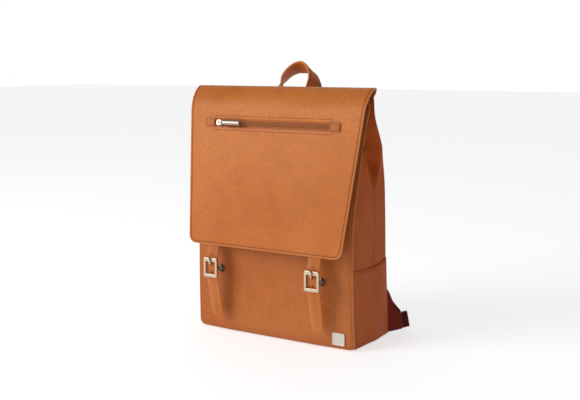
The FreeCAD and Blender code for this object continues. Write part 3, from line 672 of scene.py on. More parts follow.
# ---------------------------------------------------------------- the body's outline by height
FOOT, TOP = 0.8, 358.0
LEVEL_Z = (3.2, 118, 200, 245, 300, 345, 362)
FRONT_Y = (-59, -62.4, -59.4, -48.5, -33, -17, -9)
BACK_Y = (55.5, 43.0, 38.5, 34.5, 20.5, 0.4, -2.6)
FRONT_HALF = (139.4, 137.0, 136.5, 136.5, 136.5, 136.5, 136.5)
BACK_HALF = (140.2, 141.2, 141.4, 141.4, 141.2, 139.4, 139.4)
CORNER = 4.5
FOOT_ROUND = 8.0
BACK_ROUND, BACK_LAP = 5.0, 9.0


def front_y(z):
    return curve(LEVEL_Z, FRONT_Y, z)


def back_y(z):
    return curve(LEVEL_Z, BACK_Y, z)


def front_half(z):
    return curve(LEVEL_Z, FRONT_HALF, z)


def back_half(z):
    return curve(LEVEL_Z, BACK_HALF, z)


def foot_rows(radius, count=6):
    """Heights and inward steps of a rounded bottom edge."""
    turn = np.linspace(0, math.pi / 2, count)
    return FOOT + radius * (1 - np.cos(turn)), radius * (1 - np.sin(turn))


def foot_pinch(z, radius=FOOT_ROUND):
    """How far the bottom corners come in, seen from the front."""
    gap = np.clip(radius - (z - FOOT), 0, radius)
    return radius - np.sqrt(radius**2 - gap**2)


def make_front():
    low, step = foot_rows(4.0)
    z = np.concatenate([low, np.arange(low[-1] + 3, TOP, 5.0), [TOP]])
    inset = np.concatenate([step, np.zeros(len(z) - len(step))])
    turn = np.linspace(math.pi / 2, 0, 6)
    inner = np.linspace(-1, 1, 57)[1:-1]
    grid, shade = [], []
    for height, back in zip(z, inset):
        half = front_half(height) - foot_pinch(height)
        face = front_y(height)
        swell = curve(LEVEL_Z, (2.5, 6.5, 6.0, 4.0, 1.0, 0, 0), height)
        flat = half - CORNER
        x = np.concatenate(
            [-(flat + CORNER * np.sin(turn)), flat * inner, flat + CORNER * np.sin(turn[::-1])]
        )
        depth = np.concatenate(
            [CORNER * (1 - np.cos(turn)), np.zeros(len(inner)), CORNER * (1 - np.cos(turn[::-1]))]
        )
        share = np.clip((half - np.abs(x)) / 60.0, 0, 1)
        wave = 0.5 * np.sin(x * 0.031 + 1.0) * np.sin(height * 0.027)
        y = face + depth + back - swell * (3 * share**2 - 2 * share**3) - wave * share
        grid.append(np.stack([x, y, np.full_like(x, height)], axis=1))
        near = np.clip(1 - (half - np.abs(x)) / 9.0, 0, 1)
        shade.append(np.maximum(0.45 * near**2, 0.35 * np.clip(1 - (height - FOOT) / 14.0, 0, 1)))
    grid = np.array(grid)
    obj = sheet("front_leather", grid, SHELL, marks={"shade": np.array(shade)})
    fit(obj, "bag", "leather_shell", "front_panel")
    line = np.stack([np.linspace(-124, 124, 80), np.zeros(80), np.full(80, TOP - 5)], axis=1)
    line[:, 1] = front_y(TOP - 5) - 0.2
    sew("front_top_stitch", line, (0, -0.9, 0.4), "thread", "bag", "leather_shell")


def seam_height(y):
    return curve((-66, -36, -10, 15.6, 37.4, 52), (120.4, 117, 116.6, 119.4, 124, 127), y)


CREASE_Z = (3, 118, 247, 275, 300, 345, 362)
CREASE_Y = (0, 0, -1, -5, -7.5, -9, -7)
FOLD_Z = (3, 226, 231, 236, 246, 258, 268, 276, 300, 345, 362)
FOLD_DEEP = (0, 0, 0, 0.3, 3.4, 7.6, 11.2, 14.5, 18.0, 20.0, 20.0)
FOLD_WIDE = (3, 3, 3, 4, 8, 13.5, 18, 19, 22, 24, 24)
FOLD_FLAT = (1, 1, 1, 1.2, 3.0, 3.4, 3.2, 1.7, 1.15, 1, 1)


def side_surface(z, share, half_side, lift=0.0):
    """A point of the bag's side.

    The share runs from the front seam (0) by the centre seam (0.5) to the back corner (1).
    """
    close = 1 - 0.75 * np.clip((z - 325) / 33, 0, 1)
    face, rear = front_y(z) + 3.4 * close, back_y(z) - BACK_ROUND * close
    crease = curve(CREASE_Z, CREASE_Y, z)
    ahead = share <= 0.5
    y = np.where(ahead, face + (crease - face) * share * 2, crease + (rear - crease) * (share - 0.5) * 2)
    near, far = front_half(z) - 0.9, back_half(z)
    x = near + (far - near) * np.clip((y - face) / (rear - face), 0, 1)
    x = x + 1.6 * np.sin(np.clip(share, 0, 1) * math.pi) * np.clip((235 - z) / 60.0, 0, 1)
    deep, wide = curve(FOLD_Z, FOLD_DEEP, z), curve(FOLD_Z, FOLD_WIDE, z)
    room = np.where(ahead, crease - face, rear - crease)
    off = np.abs(y - crease) / np.maximum(np.minimum(wide, room), 0.5)
    dip = np.clip((1 - off) * curve(FOLD_Z, FOLD_FLAT, z), 0, 1)
    dip = 0.75 * dip + 0.25 * dip * dip * (3 - 2 * dip)
    x = x - deep * dip
    ridge = np.exp(-(((off - 1.12) / 0.24) ** 2)) * np.clip((z - 246) / 22, 0, 1) * np.clip((356 - z) / 30, 0, 1)
    x = x + np.where(ahead, 4.2, 1.6) * ridge
    x = x - 0.7 * np.exp(-(((y - crease) / 0.9) ** 2)) * np.clip((250 - z) / 10, 0, 1) * np.clip((z - 112) / 10, 0, 1)
    wave = np.sin(z * 0.055 + y * 0.11) * 0.5 + np.sin(z * 0.021 - y * 0.05 + 2.0) * 0.8
    x = x + wave * np.sin(np.clip(share, 0, 1) * math.pi)
    turned = np.clip(1 - share / 0.03, 0, 1)
    x = x - 0.5 * turned**2
    return np.stack([half_side * (x + lift), y, z + 0 * y], axis=-1)


def side_columns():
    ahead = np.concatenate([[0, 0.012, 0.03], np.linspace(0.05, 0.46, 14), [0.475, 0.485, 0.493]])
    return np.concatenate([ahead, [0.5], 1 - ahead[::-1]])


def around_back(points, z, side):
    """Extra columns that turn the side's leather round the back corner."""
    extra = []
    for angle in (25, 50, 75, 90):
        a = math.radians(angle)
        x = side * (points[..., 0] * side - BACK_ROUND * (1 - math.cos(a)))
        extra.append(np.stack([x, points[..., 1] + BACK_ROUND * math.sin(a), z], axis=-1))
    last = extra[-1].copy()
    last[..., 0] -= side * BACK_LAP
    return extra + [last]


def make_sides():
    shares = side_columns()
    for name, side in SIDES:
        # the lower panel, which laps over the gusset along a curved, stitched seam
        low, step = foot_rows(4.0)
        base_y = front_y(118.0) + 4.6 + (back_y(118.0) - 9.6 - front_y(118.0)) * shares
        top = seam_height(base_y)
        rows = np.concatenate([np.zeros(len(low)), np.linspace(0, 1, 24)[1:], [1.0]])
        grid = []
        for k, share in enumerate(rows):
            if k < len(low):
                z = np.full_like(shares, low[k])
                points = side_surface(z, shares, side, 1.2 - step[k])
            else:
                z = low[-1] + (top - low[-1]) * share
                roll = 0.0 if k < len(rows) - 1 else -0.9
                points = side_surface(z, shares, side, 1.2 + roll)
            points[:, 1] += foot_pinch(points[:, 2], 6.0) * np.clip(1 - shares * 12, 0, 1)
            grid.append(points)
        grid = np.array(grid)
        tail = around_back(grid[:, -1], grid[:, -1, 2], side)
        grid = np.concatenate([grid, np.stack(tail, axis=1)], axis=1)
        shade = 0.5 * np.clip(1 - np.concatenate([shares, np.ones(5) * 0.5]) / 0.05, 0, 1)
        shade = np.broadcast_to(shade, grid.shape[:2]).copy()
        shade[:6] = 0.4
        obj = oriented("side_lower_" + name, grid, SIDE_SHADED_SHELL, (side, 0, 0), marks={"shade": shade})
        fit(obj, "bag", "leather_shell", "side_yoke_" + name)
        line_share = np.linspace(0.03, 0.985, 60)
        y = front_y(118.0) + 4.6 + (back_y(118.0) - 9.6 - front_y(118.0)) * line_share
        line = side_surface(seam_height(y) - 3.8, line_share, side, 1.25)
        sew("side_seam_stitch_" + name, line, (side, 0, 0), "thread", "bag", "leather_shell")
        # the gusset above it, with its centre seam and the fold that lets the top close
        heights = np.concatenate(
            [
                np.arange(104, 230, 6.0), np.arange(230, 290, 2.5), np.arange(290, 358, 4.0),
                [TOP, 362.0, 366.0]
            ]
        )
        grid = np.array([side_surface(np.full_like(shares, z), shares, side) for z in heights])
        tail = around_back(grid[:, -1], grid[:, -1, 2], side)
        grid = np.concatenate([grid, np.stack(tail, axis=1)], axis=1)
        off = np.abs(np.concatenate([shares, np.zeros(5)]) - 0.5)
        shade = 0.5 * np.exp(-((off / 0.008) ** 2))[None, :] * np.clip((252 - heights) / 10, 0, 1)[:, None]
        shade = np.maximum(
            shade, 0.5 * np.clip(1 - np.concatenate([shares, np.ones(5) * 0.5]) / 0.05, 0, 1)[None, :]
        )
        obj = oriented(
            "gusset_leather_" + name, grid, SIDE_SHADED_SHELL, (side, 0, 0), marks={"shade": shade}, thick=1.6,
            even=False
        )
        fit(obj, "bag", "leather_shell", "gusset_" + name)
        # the piped corner
        z = np.concatenate([[5.0], np.arange(9.0, 352.0, 6.0), [355.0]])
        pipe = np.stack([side * (front_half(z) - 0.6 - foot_pinch(z, 6.0)), front_y(z) + 2.9, z], axis=1)
        radii = np.full(len(z), 1.9)
        radii[0] = radii[-1] = 0.8
        fit(
            tube("piping_" + name, pipe, radii, LOOKS["leather_shell"]), "bag", "leather_shell",
            "seam_piping_" + name
        )


def oriented(name, grid, looks, out, marks=None, thick=2.4, edge=0.6, hole=None, even=True):
    """A sheet whose outer face looks along out."""
    du = grid[:-1, 1:] - grid[:-1, :-1]
    dv = grid[1:, :-1] - grid[:-1, :-1]
    normal = np.cross(du, dv).reshape(-1, 3).sum(axis=0)
    return sheet(name, grid, looks, thick, edge, hole, marks, float(np.dot(normal, out)) < 0, even=even)


PANEL_HALF, PANEL_LOW, PANEL_HIGH = 118, 26, 292
PANEL_ROWS = (112, 202)


def channel_height(x, z):
    """The padded back: crowned cells between sewn channels."""
    across = np.abs(x)
    inside = np.minimum.reduce([PANEL_HALF - across, z - PANEL_LOW, PANEL_HIGH - z, across])
    rows = np.minimum(*[np.abs(z - row) for row in PANEL_ROWS])
    gap = np.clip(np.minimum(inside, rows), 0, None)
    return 5.5 * (1 - np.exp(-gap / 8.0))


def make_back():
    z = np.concatenate([[1.2, 3.0, 6.0], np.arange(10, 361, 4.0), [362.0]])
    x = np.concatenate([[-136.5, -135, -132], np.linspace(-128, 128, 73), [132, 135, 136.5]])
    grid = np.zeros((len(z), len(x), 3))
    shade = np.zeros((len(z), len(x)))
    for r, height in enumerate(z):
        swell = channel_height(x, np.full_like(x, height))
        grid[r, :, 0] = x * back_half(height) / 139.4
        grid[r, :, 1] = back_y(height) + 0.9 + swell
        grid[r, :, 2] = height
        quilted = (np.abs(x) < PANEL_HALF) & (height > PANEL_LOW) & (height < PANEL_HIGH)
        shade[r] = np.where(quilted, 0.35 * np.clip(1 - swell / 3.0, 0, 1), 0)
    obj = oriented("back_leather", grid, SHELL, (0, 1, 0), marks={"shade": shade}, thick=1.6)
    fit(obj, "bag", "leather_shell", "back_panel")
    ring = rounded(PANEL_HALF, (PANEL_HIGH - PANEL_LOW) / 2, 10, 6)
    ring = np.concatenate([ring, ring[:1]])
    middle = (PANEL_HIGH + PANEL_LOW) / 2
    seams = [np.stack([ring[:, 0], np.zeros(len(ring)), ring[:, 1] + middle], axis=1)]
    for height in PANEL_ROWS:
        seams.append(np.stack([np.linspace(-116, 116, 40), np.zeros(40), np.full(40, height)], axis=1))
    seams.append(np.stack([np.zeros(60), np.zeros(60), np.linspace(28, 290, 60)], axis=1))
    for k, line in enumerate(seams):
        line = resample(line, 2.0)
        line[:, 1] = back_y(line[:, 2]) + 0.9
        sew("back_stitch_%d" % k, line, (0, 1, 0.1), "thread", "bag", "leather_shell")
    for side_name, side in SIDES:
        line_z = np.linspace(8, 356, 90)
        line = np.stack([side * (back_half(line_z) - 6.9), back_y(line_z) + 0.9, line_z], axis=1)
        sew("back_edge_stitch_" + side_name, line, (0, 1, 0.1), "thread", "bag", "leather_shell")


def make_base():
    ring = rounded(135.0, 52.5, 10.0, 8)
    obj = plate(
        "base_leather", ring, None, 3.4, lambda u, v, w: (u, v - 2.0, w + 0.1), LOOKS["leather_shell"],
        1.2, 3
    )
    fit(obj, "bag", "leather_dark", "base_panel")
    obj = plate(
        "base_stiffener", rounded(133, 50, 8), None, 2.2, lambda u, v, w: (u, v - 2.0, w + 3.7),
        LOOKS["stiffener"], 0.4, 2
    )
    fit(obj, "bag", "stiffener", "base_board")


def make_inside():
    heights = np.concatenate([[7.0, 9.0, 14.0], np.arange(22, 320, 9.0), [323.0]])
    rows = []
    for z in heights:
        pinch = 3.0 * max(0.0, (14 - z) / 7.0)
        half = front_half(z) - 7.5 - pinch
        front = front_y(z) + 4.2 + pinch
        rear = back_y(z) - 10.2 - pinch
        shares = np.linspace(0.12, 0.86, 15)
        right = side_surface(np.full_like(shares, z), shares, 1, -5.6 - pinch)
        x = np.linspace(-half + 3, half - 3, 33)
        ripple = 0.8 * np.sin(x * 0.07 + z * 0.03) * np.sin(z * 0.045)
        ahead = np.stack([x, front + 0.9 + ripple, np.full_like(x, z)], axis=1)
        behind = np.stack([x[::-1], rear - 0.9 + ripple[::-1], np.full_like(x, z)], axis=1)
        right[:, 1] = np.clip(right[:, 1], front + 2, rear - 2)
        left = right[::-1] * (-1, 1, 1)
        rows.append(np.concatenate([ahead, right, behind, left]))
    grid = np.array(rows)
    count = grid.shape[1]
    faces = [face[::-1] for face in grid_faces(len(heights), count, loop=True)]
    faces.append(tuple(range(count)))
    obj = make("lining_cloth", grid, faces, LOOKS["lining_cloth"])
    solid = obj.modifiers.new("thick", "SOLIDIFY")
    solid.thickness = 0.9 * MM
    solid.offset = -1.0
    settle(obj, 60)
    fit(obj, "bag", "lining_cloth", "lining")
    for name, node, look, slot, half, deep, thick, low, high in (
        ("back_foam", "back_padding", "padding_foam", "padding_foam", 128.0, 5.4, 3.6, 9.0, 293.0),
        ("sleeve_pad", "laptop_sleeve", "lining_cloth", "lining_cloth", 115.0, 32.9, 4.4, 10.0, 244.0),
    ):
        z = np.linspace(low, high, 9)
        stations = [(0, back_y(h) - deep, h, 1, 0, 0, half * 2, thick) for h in z]
        obj, _ = strap(name, stations, LOOKS[look], 8.0, 6.0, 1.0, round_edge=1.8)
        fit(obj, "bag", slot, node)
    for name, sign in (("front", 1), ("back", -1)):
        stud = ((0, 0), (0, 5.2), (0.6, 5.9), (1.5, 5.9), (2.0, 5.2), (2.2, 3.6), (1.8, 3.2), (1.8, 0))
        lo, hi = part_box("mouth_stud_" + name)
        middle = (np.array(lo) + np.array(hi)) / 2 / MM
        axis = np.array((0.0, sign * 0.94, 0.33 * (1 if sign < 0 else -1)))
        obj = lathe("stud_" + name, stud, middle - axis * 1.1, axis, LOOKS["polished_metal"])
        fit(obj, "bag", "polished_metal", "mouth_stud_" + name)


# ---------------------------------------------------------------- the flap
def flap_line():
    """The flap's middle line in (y, z), from its sewn root behind the bag to its hem in front."""
    def arc(cy, cz, radius, start, end, count):
        turn = np.radians(np.linspace(start, end, count))
        return np.stack([cy + radius * np.cos(turn), cz + radius * np.sin(turn)], axis=1)

    parts = [
        np.array([(1.9, 345.0), (0.0, 357.0), (-1.7, 366.0)]),
        arc(-14.0, 368.8, 12.0, 4, 90, 24),
        np.array([(-20.0, 380.8), (-28.0, 380.8)]),
        arc(-30.0, 372.0, 8.8, 90, 125, 10),
        arc(-3.87, 334.7, 54.35, 125, 170.8, 40),
        np.array([(-70.0, 266.4), (-90.32, 141.2)]),
    ]
    return np.concatenate(parts)


FLAP_LINE = flap_line()
FLAP_KEYS = lengths(FLAP_LINE)
FLAP_LONG = FLAP_KEYS[-1]
HEM_ROUND = 12.0
WINDOW_HALF, WINDOW_ALONG, WINDOW_HIGH = 100.0, 187.4, 6.8


def flap_frame(along):
    """The flap's middle line and outward direction, at a distance up from the hem."""
    s = FLAP_LONG - np.asarray(along, float)
    spot = np.stack([np.interp(s, FLAP_KEYS, FLAP_LINE[:, k]) for k in (0, 1)], axis=-1)
    ahead = np.stack([np.interp(s + 1.5, FLAP_KEYS, FLAP_LINE[:, k]) for k in (0, 1)], axis=-1)
    behind = np.stack([np.interp(s - 1.5, FLAP_KEYS, FLAP_LINE[:, k]) for k in (0, 1)], axis=-1)
    run = unit(ahead - behind)
    out = np.stack([run[..., 1], -run[..., 0]], axis=-1)
    return spot, out


def flap_half(along):
    spot, _ = flap_frame(along)
    ahead = 133.8 + 21.2 * np.clip((spot[..., 1] - 141.0) / 241.0, 0, 1)
    behind = curve((345, 364, 372, 381), (134, 136, 141, 147), np.clip(spot[..., 1], 345, 381))
    turned = np.clip((spot[..., 0] + 32) / 18, 0, 1)
    return ahead + (behind - ahead) * turned


def hem_trim(along):
    gap = np.clip(HEM_ROUND - along, 0, HEM_ROUND)
    return HEM_ROUND - np.sqrt(HEM_ROUND**2 - gap**2)


def flap_surface(along, x, lift=0.0):
    """Points on the flap's outer face, with their outward directions."""
    along, x = np.broadcast_arrays(np.asarray(along, float), np.asarray(x, float))
    spot, out = flap_frame(along)
    soft = 0.7 * np.sin(x * 0.027 + 0.6) * np.sin(np.clip(along, 0, 200) * 0.0157)
    rise = 1.2 + lift + soft
    points = np.stack([x, spot[..., 0] + out[..., 0] * rise, spot[..., 1] + out[..., 1] * rise], axis=-1)
    normals = np.stack([0 * x, out[..., 0], out[..., 1]], axis=-1)
    return points, normals


def edge_gap(along, x):
    """Distance from the flap's outline."""
    half = flap_half(along)
    u = np.abs(x) - (half - HEM_ROUND)
    v = HEM_ROUND - along
    corner = HEM_ROUND - np.hypot(np.clip(u, 0, None), np.clip(v, 0, None))
    return np.where((u > 0) & (v > 0), corner, np.minimum(half - np.abs(x), along))


def make_flap():
    low, high = WINDOW_ALONG - WINDOW_HIGH, WINDOW_ALONG + WINDOW_HIGH
    along = np.concatenate([
        [0, 0.8, 1.6, 2.4, 3.2, 4.0, 5, 6, 7, 8, 9, 10, 11, 12, 14],
        np.arange(20, 172, 7.0), [175, 178, low, 184, WINDOW_ALONG, 191, high, 197, 201],
        np.arange(205, FLAP_LONG - 2, 3.0), [FLAP_LONG - 1.2, FLAP_LONG],
    ])
    inner = np.linspace(-WINDOW_HALF, WINDOW_HALF, 41)
    steps = np.array([14, 12, 10, 8, 6.5, 5, 4, 3.2, 2.4, 1.6, 0.8, 0])
    grid, shade, worn = [], [], []
    for a in along:
        half = float(flap_half(a) - hem_trim(a))
        outer = np.concatenate([np.linspace(WINDOW_HALF, half - 14, 5)[1:-1], half - steps])
        x = np.concatenate([-outer[::-1], inner, outer])
        gap = edge_gap(a, x)
        dip = -0.35 * np.exp(-(((gap - 3.2) / 0.8) ** 2)) * (a < FLAP_LONG - 24)
        points, _ = flap_surface(a, x, dip)
        grid.append(points)
        shade.append(0.35 * np.exp(-(((gap - 3.2) / 1.0) ** 2)))
        worn.append(0.5 * np.clip(1 - gap / 1.5, 0, 1))
    grid = np.array(grid)
    first = len(outer)
    rows = {round(a, 3): k for k, a in enumerate(along)}
    r0, r1 = rows[round(low, 3)], rows[round(high, 3)]

    def hole(r, c):
        return r0 <= r < r1 and first <= c < first + len(inner) - 1

    obj = oriented(
        "flap_leather", grid, FLAP, (0, -1, 0.1),
        marks={"shade": np.array(shade), "worn": np.array(worn)}, hole=hole
    )
    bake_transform(obj)
    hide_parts("flap_panel", "flap_root")
    # the stitched hem: up one side, round the corners and down the other
    inset = 3.2
    top = FLAP_LONG - 26
    sides = np.linspace(top, HEM_ROUND, 140)
    arc = np.radians(np.linspace(0, 90, 12))
    radius = HEM_ROUND - inset
    left = [(a, -(float(flap_half(a)) - inset)) for a in sides]
    left += [
        (HEM_ROUND - radius * math.sin(t), -(float(flap_half(5)) - HEM_ROUND + radius * math.cos(t)))
        for t in arc
    ]
    right = [(a, -x) for a, x in left[::-1]]
    path = np.array(left + right)
    points, normals = flap_surface(path[:, 0], path[:, 1], -0.25)
    obj = stitches("flap_stitch", points, normals, LOOKS["thread_dark"])
    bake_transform(obj)
    # the stitched opening for the zip
    wide, below, above = WINDOW_HALF + 2.4, 10.6, 11.0
    ring = np.array([(-wide, -below), (wide, -below), (wide, above), (-wide, above), (-wide, -below)])
    ring = resample(ring, 1.0)
    points, normals = flap_surface(ring[:, 1] + WINDOW_ALONG, ring[:, 0], 0.0)
    fit(
        stitches("zip_stitch", points, normals, LOOKS["thread_dark"], 3.0, 2.0, 0.44, 0.0), "flap",
        "leather_flap"
    )


def flap_panel(
    name, looks, low, high, half, lift, thick, slot, node, round_at=10.0, edge=0.3, stitch=None
):
    """A flat piece that lies along the inside of the flap."""
    along = np.concatenate(
        [
            low + np.array([0, 1, 2, 4, 6, 8, 10]), np.linspace(low + 14, high - 14, 18),
            high - np.array([10, 8, 6, 4, 2, 1, 0])
        ]
    )
    grid = []
    for a in along:
        gap = max(0.0, round_at - min(a - low, high - a))
        trim = round_at - math.sqrt(max(0.0, round_at**2 - gap**2))
        x = np.linspace(-(half - trim), half - trim, 33)
        points, _ = flap_surface(a, x, lift)
        grid.append(points)
    obj = oriented(name, np.array(grid), looks, (0, -1, 0.1), thick=thick, edge=edge)
    fit(obj, "flap", slot, node)
    if stitch:
        ring = rounded(half - stitch, (high - low) / 2 - stitch, round_at, 6)
        ring = resample(np.concatenate([ring, ring[:1]]), 1.0)
        points, normals = flap_surface(ring[:, 1] + (low + high) / 2, ring[:, 0], lift - thick)
        fit(stitches(name + "_stitch", points, -normals, LOOKS["thread"]), "flap", slot)


def on_flap(x, along, lift):
    """The straight front of the flap: x across, distance up from the hem, height above its outer face."""
    points, _ = flap_surface(along, x, lift)
    return points


def make_zip():
    cloth_looks = LOOKS["lining_cloth"]
    flap_panel(
        "flap_lining_cloth", cloth_looks, 30, 198, 130.5, -6.0, 0.9, "lining_cloth", "flap_lining", 12,
        0.2, 4.0
    )
    flap_panel(
        "flap_pocket_bag", cloth_looks, 92, 196, 107.5, -3.9, 1.6, "lining_cloth", "flap_pocket", 8, 0.3
    )
    # a narrow sunken welt round the opening
    middle = WINDOW_ALONG
    outer, inner = rounded(101.6, 8.0, 1.0), rounded(98.6, 4.9, 1.2)
    obj = plate(
        "zip_welt", outer, inner, 1.0, lambda u, v, w: on_flap(u, middle + v, w - 1.9),
        LOOKS["leather_trim"], 0.3, 2
    )
    fit(obj, "flap", "leather_trim", "zip_frame")
    x = np.linspace(-104, 104, 40)
    grid = np.array([on_flap(x, middle + v, -2.75) for v in (-8, -5, -3.4, -2.4, 2.4, 3.4, 5, 8)])
    obj = oriented("zip_tape_cloth", grid, LOOKS["zip_cloth"], (0, -1, 0), thick=0.7, edge=0)
    fit(obj, "flap", "zip_cloth", "zip_tape")
    # coil teeth, closed to the right of the slider
    for row, sign in (("lower", -1), ("upper", 1)):
        points, faces = [], []
        pitch = 1.3
        start = -97.0
        for k in range(int(195 / pitch)):
            u = start + (k + (0.5 if sign > 0 else 0.0)) * pitch
            base = len(points)
            for v, w, half in (
                (0.05, 0.0, 0.30), (0.25, 0.75, 0.42), (1.3, 1.0, 0.40), (2.4, 0.7, 0.34),
                (2.7, 0.0, 0.30)
            ):
                for du, dw in ((-half, -0.35), (-half, 0.35), (half, 0.35), (half, -0.35)):
                    points.append(on_flap(u + du, middle + sign * v, -2.6 + w + dw))
            for ring in range(4):
                for c in range(4):
                    d = (c + 1) % 4
                    face = (
                        base + ring * 4 + c, base + ring * 4 + d, base + ring * 4 + 4 + d,
                        base + ring * 4 + 4 + c
                    )
                    faces.append(face if sign < 0 else face[::-1])
            for face in (
                (base + 3, base + 2, base + 1, base), (base + 16, base + 17, base + 18, base + 19)
            ):
                faces.append(face if sign < 0 else face[::-1])
        obj = make("zip_coil_" + row, points, faces, LOOKS["coil"])
        fit(obj, "flap", "zip_metal", "zip_teeth_" + row)
    # the leather stubs over each end
    for name, side in SIDES:
        ring = rounded(8.6, 6.6, 1.8)
        u0 = side * 110.0 - 2.0
        obj = plate(
            "zip_stub_" + name, ring, None, 2.0, lambda u, v, w: on_flap(u0 + u, middle + v, w + 0.1),
            LOOKS["leather_trim"], 0.7, 3
        )
        fit(obj, "flap", "leather_trim", "zip_tab_" + name)
        ring = rounded(6.6, 4.6, 1.0)
        ring = resample(np.concatenate([ring, ring[:1]]), 0.5)
        points, normals = flap_surface(ring[:, 1] + middle, ring[:, 0] + u0, 2.1)
        fit(
            stitches("zip_stub_stitch_" + name, points, normals, LOOKS["thread_dark"], 2.6, 1.8, 0.3),
            "flap", "leather_trim"
        )
    # slider, its bridge, the eyelet and the brushed tube
    def at(u0, v0, w0):
        return lambda u, v, w: on_flap(u0 + u, middle + v + v0, w0 + w)

    outline = np.array(
        [
            (-5.9, -2.6), (-3.0, -4.5), (4.2, -4.5), (5.9, -3.4), (5.9, 3.4), (4.2, 4.5), (-3.0, 4.5),
            (-5.9, 2.6)
        ]
    )[::-1]
    body = plate(
        "zip_slider_body", outline[::-1], None, 2.0, at(SLIDER_X, 0, -0.5), LOOKS["zip_metal"], 0.6, 3
    )
    fit(body, "zip_slider", "zip_metal", "zip_slider")
    hoop = [
        on_flap(SLIDER_X + u, middle, w)
        for u, w in ((-1.7, 0.9), (-1.5, 1.5), (-0.9, 2.0), (0, 2.2), (0.9, 2.0), (1.5, 1.5), (1.7, 0.9))
    ]
    fit(tube("zip_slider_bridge", hoop, 0.6, LOOKS["zip_metal"]), "zip_slider", "zip_metal")
    turn = np.linspace(0, math.tau, 40, endpoint=False)
    outer = np.stack([4.5 * np.cos(turn), 4.5 * np.sin(turn)], axis=1)
    obj = plate(
        "zip_pull_eyelet", outer, outer * 0.5, 1.5, at(SLIDER_X + 0.6, 0, 3.7), LOOKS["polished_metal"],
        0.4, 3
    )
    fit(obj, "zip_pull", "zip_metal", "zip_pull_link")
    neck = [on_flap(u, middle, w) for u, w in ((-90.2, 4.6), (-88.5, 5.0), (-86.8, 6.0), (-85.0, 6.9))]
    fit(tube("zip_pull_neck", neck, (1.0, 1.0, 1.3, 1.5), LOOKS["zip_metal"]), "zip_pull", "zip_metal")
    start = on_flap(-85.4, middle, 6.9)
    profile = (
        (0, 0), (0, 2.6), (0.3, 3.3), (0.9, 3.8), (2.0, 4.0), (2.4, 3.75), (2.8, 4.0), (31.4, 4.0),
        (32.6, 3.8), (32.9, 3.2), (33.0, 2.4), (32.2, 2.2), (32.2, 0)
    )
    obj = lathe("zip_pull_barrel", profile, start, (1, 0, 0), LOOKS["zip_metal"], 40)
    fit(obj, "zip_pull", "zip_metal", "zip_pull_tube")


